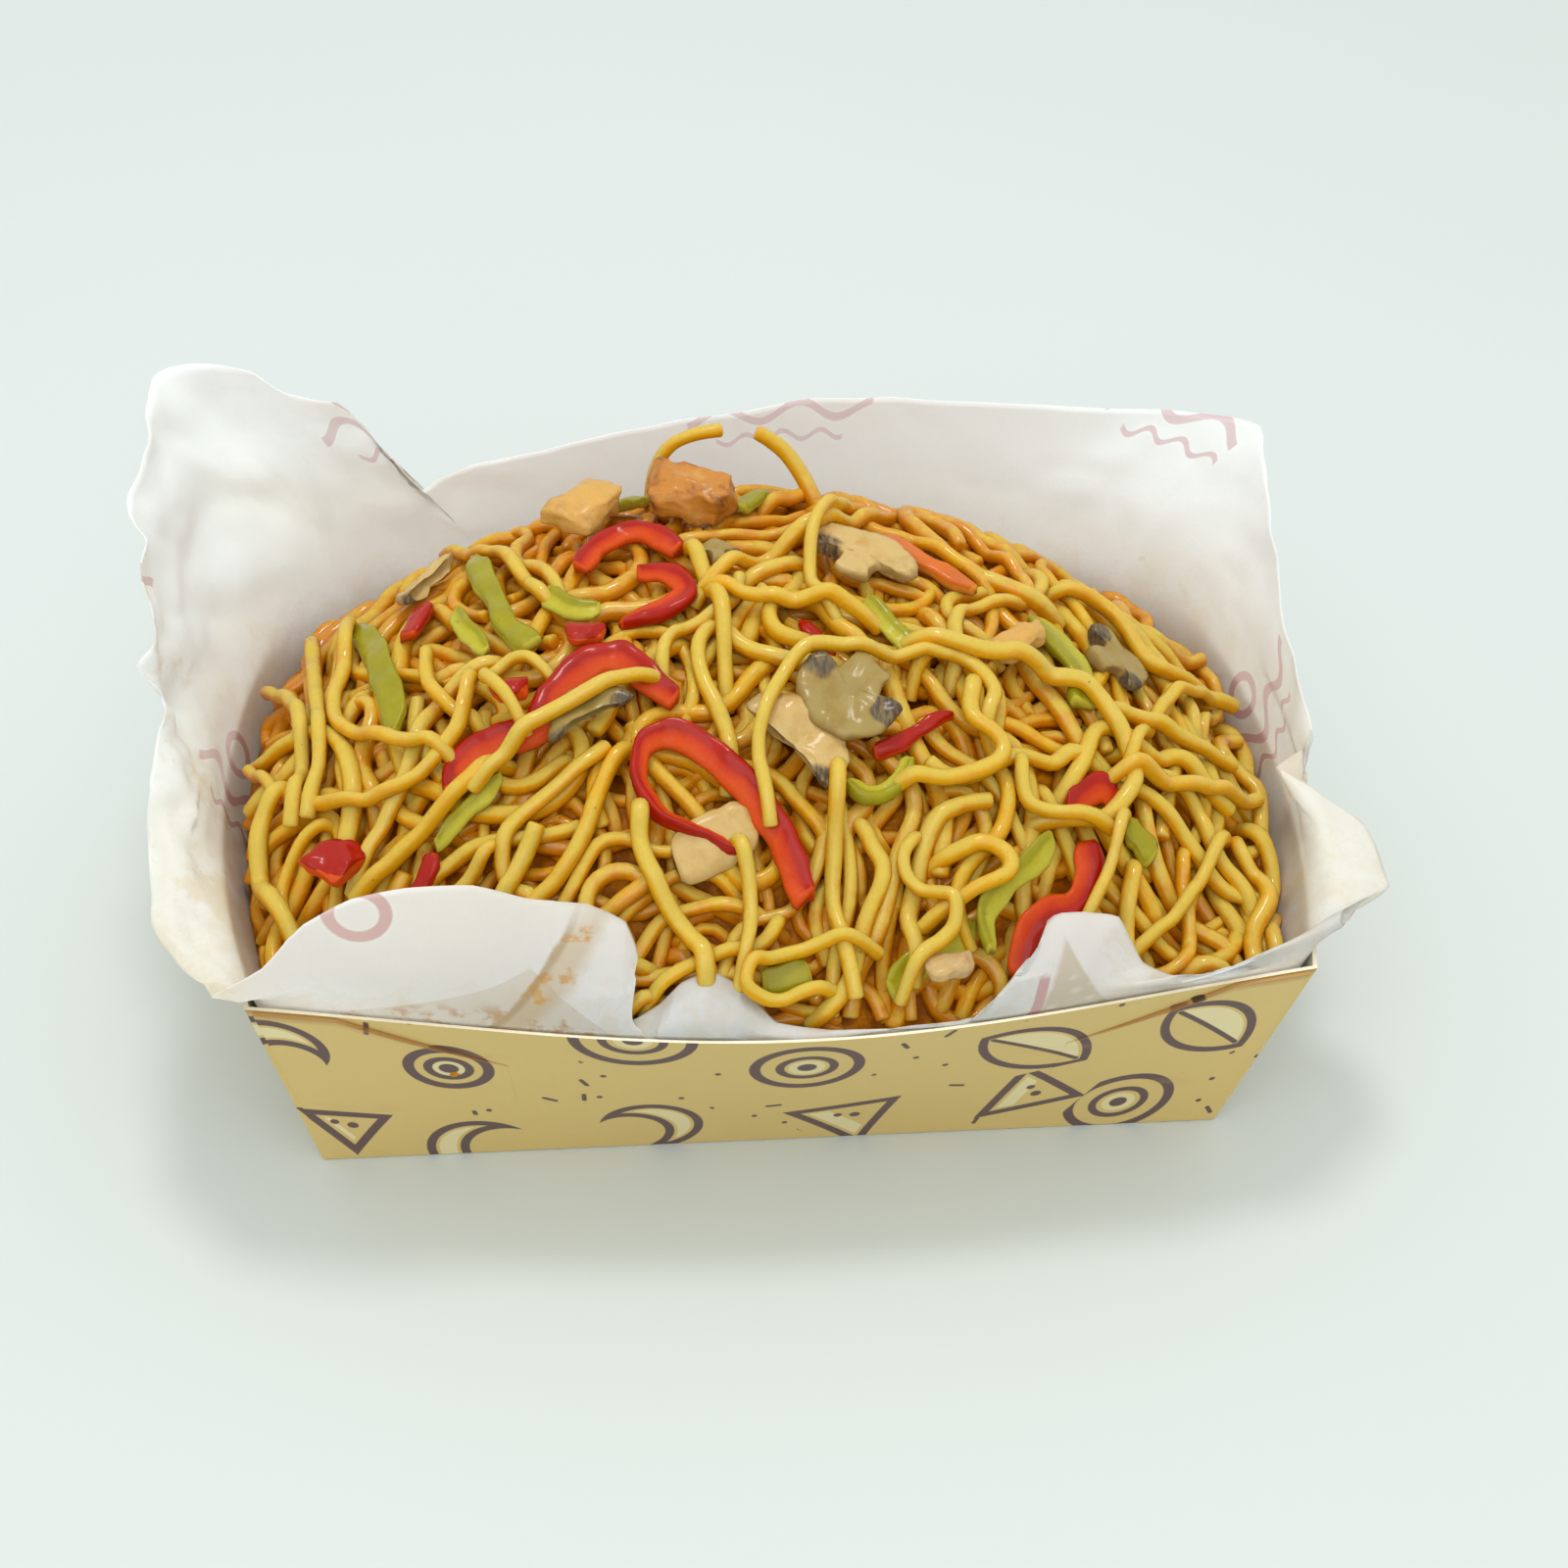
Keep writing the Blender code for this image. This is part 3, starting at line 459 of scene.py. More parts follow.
# Large printed shapes by the random number of their cell, from one bound to the next
RING_END, MOON_END, LEAF_END, WEDGE_END = 0.32, 0.55, 0.77, 1.01

# Colour of a grease smear on the card, and the painted shade of its lock slits and of the hole of its notch
GREASE_SMEAR = (0.52, 0.30, 0.10)
SLIT_SHADE = (0.36, 0.17, 0.045)
HOLE_SHADE = (0.05, 0.03, 0.02)


def turned_cells(finish, at, spacing, randomness):
    """Random numbers of each cell, and the place within it after a random turn."""
    draws = finish.parts(finish.cells(at, spacing, FLAT_CELLS, "Color", randomness))
    local = finish.vector("SUBTRACT", at, finish.cells(at, spacing, FLAT_CELLS, "Position", randomness))
    local = finish.node("ShaderNodeVectorRotate", {"rotation_type": "Z_AXIS"},
                        {"Vector": local, "Angle": draws[1] * (2 * math.pi)})
    return draws, local


def large_shapes(finish, at, spacing):
    """Ink and pale fill of rings, moons, leaves and wedges, and the distance from their middle."""
    (pick, turn, size), local = turned_cells(finish, at, spacing, 0.55)
    x, y, z = finish.parts(local)
    away = finish.away(local)
    radius = 5.8 + size * 3.6

    def line(distance, width):
        return distance.within(width / 2 - 0.12, width / 2 + 0.12)

    ring = line(away - radius, 1.9).most(line(away - radius * 0.52, 1.5)).most(away.under(1.5, 1.8))
    moon_edge = (away - radius * 1.15).most(radius - finish.away(local, (4.4, 2.2, 0.0)))
    leaf_sides = finish.away(local, (0.0, 7.5, 0.0)).most(finish.away(local, (0.0, -7.5, 0.0)))
    leaf_edge = leaf_sides - (radius + 5.6)
    leaf = line(leaf_edge, 1.6).most(line(y, 1.0) * leaf_edge.under(-1.2, -0.8))
    wedge_edge = (y - radius * 0.9).most(abs(x) * 0.9 - y * 0.55 - radius * 0.45)
    seeds = finish.away(local, (0.0, 1.4, 0.0)).under(0.9, 1.1).most(
        finish.away(local, (2.3, 3.6, 0.0)).under(0.7, 0.9))
    shapes = (
        (0.0, RING_END, ring, away.under(3.0, 3.2) * 0.9),
        (RING_END, MOON_END, line(moon_edge, 1.7), moon_edge.under(-1.6, -1.4)),
        (MOON_END, LEAF_END, leaf, leaf_edge.under(-1.5, -1.3) * y.between(0.0, 0.3)),
        (LEAF_END, WEDGE_END, line(wedge_edge, 1.8).most(seeds),
         wedge_edge.under(-1.8, -1.6) * y.between(3.4, 3.6)),
    )
    ink, fill = 0.0, 0.0
    for low, high, drawn, filled in shapes:
        chosen = pick.math("GREATER_THAN", low) * pick.math("LESS_THAN", high)
        ink = drawn * chosen + ink
        fill = filled * chosen + fill
    return ink, fill, away


def small_marks(finish, at):
    """Dots and short dashes."""
    draws, local = turned_cells(finish, at, 6.6, 0.8)
    x, y, z = finish.parts(local)
    dots = finish.away(local).under(0.45, 0.65) * draws[0].math("LESS_THAN", 0.30)
    dash = (abs(x) - 1.1).most(0.0) ** 2.0 + y * y
    return dots.most(dash.under(0.13, 0.24) * draws[0].math("GREATER_THAN", 0.80))


def painted_slit_shadows(finish, at):
    """Painted shadow and shade of the lock slits at front and back corners, and painted dark hole of the
    right notch.
    """
    x, y, z = finish.parts(at)
    corner = BASE_LENGTH / 2 + FLARE - abs(x)
    slit = y - 45.55 + (corner - SLIT_FROM_CORNER).most(0.0) * 0.49
    # Painted shadow in the gap of each slit, fading towards its far end
    cut = (slit + 0.12).within(0.22, 0.50) * corner.under(39.0, 39.5)
    cut = cut * (1.0 - corner.between(30.0, 39.0) * 0.6)
    # Painted shade under the rim, between the corner and the notch
    shade = (slit + 0.5).within(0.2, 1.5) * corner.under(8.0, 26.0) * 0.6
    # Painted dark hole of the notch
    across, up = (corner - 19.6) / 1.3, (y - 42.9) / 0.75
    return cut.most(shade), (across * across + up * up).under(0.6, 1.3) * x.between(60.0, 61.0)


def print_material(settings):
    """Card with printed shapes, worn ink, a faint grease smear, and painted shade at its lock slits and
    notch.
    """
    finish = Finish("card_outside", ior=1.45)
    at = finish.flat()
    shapes, fill, away = large_shapes(finish, at, settings.motif)
    ink = shapes.most(small_marks(finish, at) * away.between(12.6, 13.2))
    grain = finish.noise(at, 1.4, 4.0, 0.6)
    worn = finish.noise(at, 0.5, 2.0).between(0.20, 0.34)
    smear = finish.noise(finish.vector("MULTIPLY", at, (0.5, 1.6, 1.0)), 16.0).between(0.62, 0.74)
    # Painted shadow and shade of the lock slits, and the painted dark hole of the notch
    slit, painted_hole = painted_slit_shadows(finish, at)
    base = finish.layers(
        finish.tint(settings.card, 0.93 + grain * 0.08 + finish.noise(at, 38.0, 2.0) * 0.06),
        (fill * 0.9, settings.fill),
        (ink * (0.86 + 0.14 * worn), settings.ink),
        (smear * 0.22, GREASE_SMEAR),
        (slit * 0.7, SLIT_SHADE),
        (painted_hole * 0.9, HOLE_SHADE),
    )
    return finish.surface(base=base, roughness=0.46 + grain * 0.14, normal=finish.bump(grain, 0.05, 0.5))


def inside_material(settings):
    """Bare inside of the card, with a fine grain of fibres."""
    finish = Finish("card_inside")
    at = finish.flat()
    fibre = finish.noise(finish.vector("MULTIPLY", at, (1.0, 3.0, 1.0)), 1.8, 4.0, 0.6)
    return finish.surface(base=finish.tint(settings.inside, 0.90 + fibre * 0.16),
                          roughness=0.7 + fibre * 0.15,
                          normal=finish.bump(fibre, 0.06, 0.5))


def edge_material(settings):
    """Cut edge of the card."""
    finish = Finish("card_edge")
    fibre = finish.noise(finish.place(), 0.8, 3.0)
    return finish.surface(base=finish.tint(settings.edge, 0.9 + fibre * 0.2), roughness=0.8,
                          normal=finish.bump(fibre, 0.05, 0.6))


# Where the print of each wall and of the base begins on the flat card, and slanted to upright height
SIDE_PRINTS = (0.0, 190.0, 320.0, 520.0)
BASE_PRINT = 700.0
SLANT = 1.02


class BOX_OT_tray(bpy.types.Operator):
    """Builds the flared card tray with its printed walls, cut edge and corner tabs"""
    bl_idname = "noodlebox.tray"
    bl_label = "Card tray"

    def execute(self, context):
        settings = context.scene.noodlebox_tray
        materials = [print_material(settings), inside_material(settings), edge_material(settings)]
        patches = Patches()
        columns = 72
        levels = [TRAY_HEIGHT * level / 14 for level in range(15)]
        alongs = [column / columns for column in range(columns + 1)]
        for side, start in enumerate(SIDE_PRINTS):
            outer = [[self.card_point(side, along, z, 0.0) for along in alongs] for z in levels]
            inner = [[self.card_point(side, along, max(z, CARD), CARD) for along in alongs] for z in levels]
            flat = [[(start + (along - 0.5) * (SIDE_RUN[side] + 2 * FLARE), z * SLANT) for along in alongs]
                    for z in levels]
            patches.grid(outer, flat, 0)
            patches.grid(inner, flat, 1, True)
            patches.grid([outer[-1], inner[-1]], [flat[-1], flat[-1]], 2)
        round_base = [(side, along) for side in range(4) for along in alongs[:-1]]
        under = [self.card_point(side, along, 0.0, 0.0) for side, along in round_base]
        floor = [self.card_point(side, along, CARD, CARD) for side, along in round_base]
        patches.polygon(under[::-1], [(x + BASE_PRINT, y) for x, y, z in under[::-1]], 0)
        patches.polygon(floor, [(x, y) for x, y, z in floor], 1)
        for side in (0, 2):
            for end in (0, 1):
                self.add_tab(patches, side, end)
        patches.build("printed_card_tray", materials, "card", ["card_tray"], math.radians(35))
        return {"FINISHED"}

    def card_point(self, side, along, height, inset):
        x, y, z = wall_point(side, along, height, inset)
        ripple = 0.18 * math.sin(9.0 * along + 2.0 * side) * (height / TRAY_HEIGHT) ** 2
        return x, y, z + ripple * math.sin(math.pi * along)

    def add_tab(self, patches, side, end):
        """Corner piece that stands proud below its diagonal locking slit."""
        length = BASE_LENGTH + 2 * FLARE
        dx, dy = outward_of(side)
        distances = [1.2 + 37.8 * step / 26 for step in range(27)]
        outer, under, flat = [], [], []
        for distance in distances:
            along = distance / length if not end else 1.0 - distance / length
            fall = max(0.0, (distance - SLIT_FROM_CORNER) / SLIT_RUN) * SLIT_DROP
            top = TRAY_HEIGHT - 0.35 - fall
            heights = [3.0 + (top - 3.0) * step / 14 for step in range(15)]
            fade = 0.08 + 0.92 * ramp(39.0 - distance, 0.0, 16.0)
            proud = [(0.25 + 0.55 * (z / top) ** 2) * min(1.0, (z - 3.0) / 20.0) * fade for z in heights]
            spots = [self.card_point(side, along, z, 0.0) for z in heights]
            outer.append([(x + dx * lift, y + dy * lift, z) for (x, y, z), lift in zip(spots, proud)])
            under.append([(x - dx * 0.2, y - dy * 0.2, z) for x, y, z in spots])
            flat.append([(SIDE_PRINTS[side] + (along - 0.5) * length, z * SLANT) for z in heights])
        flip = bool(end)
        patches.grid(outer, flat, 0, not flip)
        patches.grid(under, flat, 0, flip)
        for end_row, turned in ((-1, flip), (0, not flip)):
            rims = [[row[end_row] for row in rows] for rows in (outer, under, flat)]
            patches.grid(rims[:2], [rims[2]] * 2, 0, turned)
            patches.grid([outer[end_row], under[end_row]], [flat[end_row]] * 2, 0, not turned)


# Liner

FRONT_EDGE = [
    (-91, -55, 48), (-82, -56, 54), (-75, -55, 62), (-68, -54, 65.5), (-60, -53, 66),
    (-50, -52, 65), (-41, -51, 61), (-32, -50, 59), (-26, -51.5, 56), (-24, -55.5, 51.5),
    (-27.5, -59, 46), (-26, -60, 42.5), (-21.5, -58, 44), (-18, -56.5, 47), (-13, -55.5, 48),
    (-8, -57.5, 45.5), (-3, -62, 42), (6, -63.5, 40.8), (14, -63.5, 41.3), (22, -63.5, 41.8),
    (31, -63, 41.5), (36, -60.5, 42), (38, -56, 48), (41, -53, 54), (47, -52, 55),
    (53, -52, 53.5), (57, -56, 47), (63, -59, 45.5), (70, -60, 46), (77, -58, 46.5),
    (88, -52, 47.5),
]
RIGHT_EDGE = [
    (102, -42, 48.5), (102, -27, 49.5), (95, -21, 52), (89, -14, 52), (97, -9, 54.5),
    (97, 2, 59), (97, 20, 61), (96, 34, 70),
]
BACK_EDGE = [
    (99, 55, 79), (86, 62, 78), (74, 64, 77.5), (62, 64, 78), (46, 64, 79), (28, 64, 80),
    (14, 64, 80), (1, 64, 78), (-10, 63, 77), (-21, 63, 74.5), (-36, 62, 72),
    (-50, 61, 71), (-56, 61, 67.5), (-61, 60.5, 65), (-67, 59, 75), (-74, 57, 86),
    (-82, 56, 89), (-92, 58, 91),
]
LEFT_EDGE = [
    (-105, 58, 92), (-108, 28, 86), (-105, 11, 80.5), (-103, 4, 70), (-101, 0, 63),
    (-104, -13, 56), (-103, -27, 52), (-101, -42, 49), (-96, -50, 47.5),
]
LINER_EDGE = [FRONT_EDGE, RIGHT_EDGE, BACK_EDGE, LEFT_EDGE]


def liner_columns(spacing):
    """Side, position along it and free edge point of many columns round the liner."""
    sides, alongs, edges = [], [], []
    for side, edge in enumerate(LINER_EDGE):
        axis = side % 2
        start = edge[0][axis]
        stop = LINER_EDGE[(side + 1) % 4][0][axis]
        along = 0.0
        for index, point in enumerate(edge):
            wanted = (point[axis] - start) / (stop - start)
            along = max(along + 0.008, wanted) if index else 0.0
            sides.append(side)
            alongs.append(side + along)
            edges.append(point)
    alongs.append(4.0)
    edges.append(edges[0])
    turns = np.asarray(alongs)
    edges = np.asarray(edges, dtype=float)
    columns = []
    for index in range(len(sides)):
        before, start, stop, after = (edges[(index + shift) % (len(edges) - 1)] for shift in (-1, 0, 1, 2))
        pieces = max(2, int(round(np.linalg.norm(stop - start) / spacing)))
        for piece in range(pieces):
            t = piece / pieces
            slope_in, slope_out = 0.5 * (stop - before), 0.5 * (after - start)
            point = ((2 * t ** 3 - 3 * t ** 2 + 1) * start + (t ** 3 - 2 * t ** 2 + t) * slope_in
                     + (3 * t ** 2 - 2 * t ** 3) * stop + (t ** 3 - t ** 2) * slope_out)
            straight = start + (stop - start) * t
            turn = turns[index] + (turns[index + 1] - turns[index]) * t
            columns.append((int(turn), turn - int(turn), 0.45 * point + 0.55 * straight))
    return columns


def liner_wall(side, along, height, inset=0.0):
    at_front = side == 0 or (side == 1 and along < 0.5) or (side == 3 and along > 0.5)
    rounding = 22.0 + 40.0 * height / TRAY_HEIGHT if at_front else 9.0 - 4.0 * height / TRAY_HEIGHT
    return np.asarray(wall_point(side, along, height, CARD + LINER_GAP + inset, rounding))


def crease(x, y, size, seed):
    """Crumpled relief between -0.5 and 0.5, of flat facets that meet in sharp folds."""
    bent = noise.noise(Vector((x / size * 0.7, y / size * 0.7, seed + 4.0)))
    distances = noise.voronoi(Vector((x / size + 0.4 * bent, y / size - 0.4 * bent, seed)))[0]
    return 0.9 * distances[0] + 0.25 * min(1.0, distances[1] - distances[0]) - 0.5


# Colours that the food leaves on the paper
DOUBLED_PAPER = (0.58, 0.545, 0.43)
DARK_SCRAPS = (0.42, 0.19, 0.04)
FOLD_SAUCE = (0.50, 0.36, 0.15)
FOLD_CRUMBS = (0.58, 0.27, 0.04)
FOLD_LINE = (0.24, 0.15, 0.05)
SOAKED_PAPER = (0.68, 0.54, 0.28)
PUDDLE = (0.60, 0.43, 0.17)
WET_PATCH = (0.50, 0.45, 0.30)
SEEN_THROUGH = (0.46, 0.10, 0.12)


def paper_marks(finish, at):
    """Printed ring over a bold and a fine wavy line, once in each cell of the sheet."""
    local = finish.vector("SUBTRACT", at, finish.cells(at, 62.0, FLAT_CELLS, "Position", 0.25))
    x, y, z = finish.parts(local)
    bold = (y - 2.2 * (x * 0.55).math("SINE")).within(0.95, 1.25) * x.within(13.5, 14.0)
    fine = (y + 6.4 - 1.1 * (x * 1.1 + 1.0).math("SINE")).within(0.5, 0.75) * x.within(9.5, 10.0)
    return bold.most(fine).most((finish.away(local, (-3.0, 8.0, 0.0)) - 3.4).within(0.65, 0.95))


def paper_material(settings):
    """Greaseproof paper with its print, soaked where food and sauce touch it."""
    finish = Finish("greaseproof_paper", ior=1.4, subsurface_weight=0.6, subsurface_scale=0.003,
                    subsurface_radius=(1.0, 1.0, 1.0))
    at = finish.flat()
    place = finish.place()
    x, y, z = finish.parts(place)
    fibre = finish.noise(place, 0.9, 3.0, 0.6)
    cloud = finish.noise(place, 22.0)
    blot = finish.noise(place, 6.5, 4.0, 0.6)
    crumbs = finish.noise(at, 3.2, 3.0, 0.6)

    # Oil that has crept up from the rim of the tray, darker along its own edge
    low = finish.kept("rise").under(2.0, 13.0)
    crept = blot + low * 0.30
    oil = (crept - 0.05).between(0.62, 0.84)
    oil_edge = (crept - 0.70).within(0.0, 0.02) * low

    # Second layer of paper that shows through the tongue, with scraps caught between them
    front = y.under(-50.0, -47.0)
    doubled = front * (45.6 + (x + 70.0) * 0.26 - z).between(-0.15, 0.15) * (
        45.6 - (x + 32.0) * 0.78 - z).between(-0.15, 0.15)
    scraps = doubled * (z - 47.5).under(-1.0, 2.0) * crumbs.between(0.50, 0.66)

    # Sauce and crumbs in the fold at the tongue's right end
    run = x + 38.5 - (z - 50.0) * 0.95
    band = front * (run + 4.0 + (blot - 0.5) * 2.0).between(-0.3, 0.5) * (
        run + (blot - 0.5) * 5.0).under(0.5, 4.5) * (z - 57.5 + blot * 2.0).under(-1.0, 2.5)

    # Soaked places at the right, left and back of the heap, and a puddle at the left
    soak = (x - 88.0).within(6.0, 26.0) * z.under(50.0, 66.0) * y.between(-62.0, -40.0)
    soak = soak.most((x + 94.0).within(4.0, 16.0) * z.under(50.0, 62.0))
    soak = soak.most(y.between(40.0, 54.0) * (z + x * 0.10).under(58.0, 72.0) * 0.7)
    puddle = finish.noise(at, 11.0, 4.0, 0.6).between(0.54, 0.64) * (x + 98.0).within(6.0, 14.0)

    # Wet triangle and a red strip seen through the front right peak
    rise = z - 43.0
    patch = front * rise.between(-2.0, 1.0) * (x - 38.6 - rise * 0.42).between(-0.5, 0.5) * (
        51.0 - x - rise * 0.72).between(-0.4, 0.4)
    bubbles = finish.cells(at, 2.6).between(0.10, 0.42)
    strip = front * (x - 38.0 - rise * 0.25).within(0.7, 1.1) * rise.under(6.0, 7.0)
    drops = finish.cells(at, 9.0).under(0.04, 0.09) * finish.noise(at, 20.0, 1.0).between(0.52, 0.62)

    base = finish.layers(
        finish.tint(settings.paper, 0.95 + fibre * 0.04 + cloud * 0.05),
        (oil * 0.30, settings.oil),
        (oil_edge * 0.22, settings.oil),
        (doubled * 0.62, DOUBLED_PAPER),
        (scraps * 0.75, DARK_SCRAPS),
        (band * (0.45 + 0.35 * blot), FOLD_SAUCE),
        (band * crumbs.between(0.53, 0.66) * 0.8, FOLD_CRUMBS),
        (band * (run + 3.2).within(0.2, 1.3) * 0.5, FOLD_LINE),
        (soak * (0.15 + 0.55 * blot), SOAKED_PAPER),
        (puddle * y.under(8.0, 22.0) * 0.5, PUDDLE),
        (patch * (0.30 + 0.45 * bubbles), WET_PATCH),
        (strip * 0.65, SEEN_THROUGH),
        (drops * 0.6, settings.oil),
        (paper_marks(finish, at) * (0.55 + 0.25 * cloud), settings.ink),
    )
    return finish.surface(base=base, roughness=0.52 - oil * 0.22 + fibre * 0.05,
                          normal=finish.bump(fibre * 0.4 + cloud, 0.25, 0.35))


# Spacing of the points round the sheet, its rows of points below and above the rim, and the height
# under which the free edge bulges before it falls
COLUMN_SPACING = 1.15
WALL_ROWS = 12
FREE_ROWS = 26
LOW_EDGE = 60.0

# Size, seed and height of the creases, from the broad to the fine
FOLDS = ((30.0, 3.1, 3.0), (13.0, 7.7, 1.5), (6.0, 1.2, 0.6))


class BOX_OT_liner(bpy.types.Operator):
    """Builds the crumpled paper liner that lines the tray and stands above it"""
    bl_idname = "noodlebox.liner"
    bl_label = "Paper liner"

    def execute(self, context):
        settings = context.scene.noodlebox_liner
        columns = liner_columns(COLUMN_SPACING)
        grid = np.stack([self.sheet_column(side, along, edge) for side, along, edge in columns], axis=1)
        steps = np.linalg.norm(np.diff(grid, axis=0), axis=2)
        lengths = np.vstack((np.zeros(len(columns)), np.cumsum(steps, axis=0)))
        around = [CORNER_RUN[side] + along * SIDE_RUN[side] for side, along, edge in columns]
        self.crumple_sheet(grid, around, lengths, settings.crumple / MM)
        patches = Patches()
        sides = [column[0] for column in columns]
        for side in range(4):
            first = sides.index(side)
            span = [(first + step) % len(columns) for step in range(sides.count(side) + 1)]
            alongs = [columns[column][1] for column in span[:-1]] + [1.0]
            spots = [[tuple(row[column]) for column in span] for row in grid.tolist()]
            flat = [[self.flat_spot(side, along, length[column]) for along, column in zip(alongs, span)]
                    for length in lengths]
            patches.grid(spots, flat, 0)
        patches.polygon([tuple(p) for p in grid[0].tolist()], [tuple(p) for p in grid[0][:, :2].tolist()], 0)
        liner = patches.build("greaseproof_liner", [paper_material(settings)], "paper", ["paper_liner"],
                              math.radians(60))
        heights = np.empty(len(liner.data.vertices) * 3)
        liner.data.vertices.foreach_get("co", heights)
        keep_values(liner.data, "rise", np.maximum(0.0, heights[2::3] / MM - TRAY_HEIGHT + 1.0))
        thicken(liner, settings.sheet)
        return {"FINISHED"}

    def flat_spot(self, side, along, travelled):
        """Where a point of the sheet lies when the sheet is laid out flat."""
        out_x, out_y = outward_of(side)
        if side % 2:
            return out_x * (BASE_LENGTH / 2 + travelled), (along * 2 - 1) * BASE_DEPTH / 2 * out_x
        return -out_y * (along * 2 - 1) * BASE_LENGTH / 2, out_y * (BASE_DEPTH / 2 + travelled)

    def sheet_column(self, side, along, edge):
        """Points up the sheet from the foot of the tray wall, over the rim and out to the free edge."""
        top_height = min(TRAY_HEIGHT + 1.0, edge[2] - 1.5 + RIM_DIP)
        foot = liner_wall(side, along, 1.0, 0.7)
        column = [np.array((foot[0], foot[1], CARD + 0.5))]
        for row in range(1, WALL_ROWS + 1):
            share = row / WALL_ROWS
            column.append(liner_wall(side, along, 1.0 + (top_height - 1.0) * share, 0.35 * (1 - share)))
        top = column[-1]
        leave = (column[-1] - column[-3]) / np.linalg.norm(column[-1] - column[-3])
        reach = np.linalg.norm(edge - top)
        lift = np.array((0.0, 0.0, 0.10 * reach if edge[2] < LOW_EDGE else 0.0))
        bend = 0.5 * (top + leave * reach * 0.5) + 0.5 * (top + edge) / 2 + lift
        for row in range(1, FREE_ROWS + 1):
            t = row / FREE_ROWS
            column.append((1 - t) ** 2 * top + 2 * t * (1 - t) * bend + t ** 2 * edge)
        return column

    def crumple_sheet(self, grid, around, lengths, crumple):
        """Moves the free part of the sheet along its own normals, more towards the edge."""
        along = np.roll(grid, -1, axis=1) - np.roll(grid, 1, axis=1)
        upward = np.gradient(grid, axis=0)
        normals = np.cross(along, upward)
        normals /= np.linalg.norm(normals, axis=2, keepdims=True) + 1e-9
        for row in range(WALL_ROWS + 1, grid.shape[0]):
            t = (row - WALL_ROWS) / FREE_ROWS
            for column in range(grid.shape[1]):
                x, y, z = grid[row, column]
                u, v = around[column], 95.0 + lengths[row, column]
                left = ramp(-x, 40.0, 85.0)
                share = 0.22 + 1.25 * left * (0.35 + 0.65 * ramp(y, -50.0, -38.0))
                share += 0.45 * ramp(x, 60.0, 90.0) + 0.55 * ramp(y, 0.0, 40.0)
                folds = sum(crease(u, v, *fold) * height for *fold, height in FOLDS)
                low_left = ramp(-x, 84.0, 92.0) * ramp(-y, -18.0, -4.0)
                folds += low_left * (crease(u, v, 10.0, 5.5) * 1.3 + crease(u, v, 4.6, 8.8) * 0.6)
                wave = noise.noise(Vector((u / 30.0, v / 60.0, 5.0))) * 1.4
                lift = crumple * (folds * share + wave) * min(1.0, 2.2 * t) ** 1.5
                if y < -45.0 and 34.0 < x < 60.0:
                    lift += 1.8 * t * max(0.0, 1.0 - abs(x - 51.0 + 0.72 * (z - 43.0)) / 6.0)
                if z < 50.0 and (abs(x) > 80 or abs(y) > 52):
                    lift = max(lift, -0.3)
                grid[row, column] += normals[row, column] * lift * (1.0 + 0.5 * left)
                spike = max(0.0, 1.0 - abs(y - 2.5) / 1.8) * max(0.0, 1.0 - (1.0 - t) / 0.16) * (x < -90.0)
                grid[row, column] += spike * np.array((-4.2, 0.0, 0.8))


# Heap surface

def heap_height(x, y, corner_fall=70.0):
    """Top of the heap over points of the plan."""
    x = np.asarray(x, dtype=float)
    y = np.asarray(y, dtype=float)
    reach_x = np.where(x < PEAK_X, HEAP_LEFT, HEAP_RIGHT)
    reach_y = np.where(y < 0, HEAP_FRONT, HEAP_BACK)
    power = 2.1
    radius = (np.abs(x / reach_x) ** power + np.abs(y / reach_y) ** power) ** (1 / power)
    inside = np.minimum(radius, 1.0)
    turn = np.sin(np.arctan2(y / reach_y, x / reach_x)) ** 2
    edge = EDGE_SIDE + (np.where(y < 0, EDGE_FRONT, EDGE_BACK) - EDGE_SIDE) * turn
    u = (x - PEAK_X * (1 - inside)) / reach_x
    v = (y - PEAK_Y * (1 - inside)) / reach_y
    rise = np.minimum((np.abs(u) ** power + np.abs(v) ** power) ** (1 / power), 1.0)
    return edge + (HEAP_PEAK - edge) * (1 - rise ** 2.6) - corner_fall * np.maximum(radius - 1.0, 0.0)


def noodle_top(x, y):
    """Height that the separate noodles fill up to, fuller in the corners than the core."""
    return heap_height(x, y, 30.0)


# Plan points with the way most noodles lie there, in degrees
LIE = np.array([
    (-78, 5, 95), (-62, -26, 30), (-36, -34, 50), (-5, -50, 95), (28, -45, 120), (60, -32, 55),
    (80, -8, 65), (56, 20, -35), (16, 26, 30), (-10, 0, 85), (26, 0, 10), (-42, 15, 70), (-62, 34, 60),
     (34, -20, -25),
    (-84, -30, 110), (84, -42, 70), (0, 46, 20),
], dtype=float)


def lie_at(x, y):
    """Usual direction of the noodles at a plan point."""
    weight = 1.0 / ((LIE[:, 0] - x) ** 2 + (LIE[:, 1] - y) ** 2 + 60.0)
    double = np.radians(2 * LIE[:, 2])
    return 0.5 * math.atan2(float((weight * np.sin(double)).sum()), float((weight * np.cos(double)).sum()))


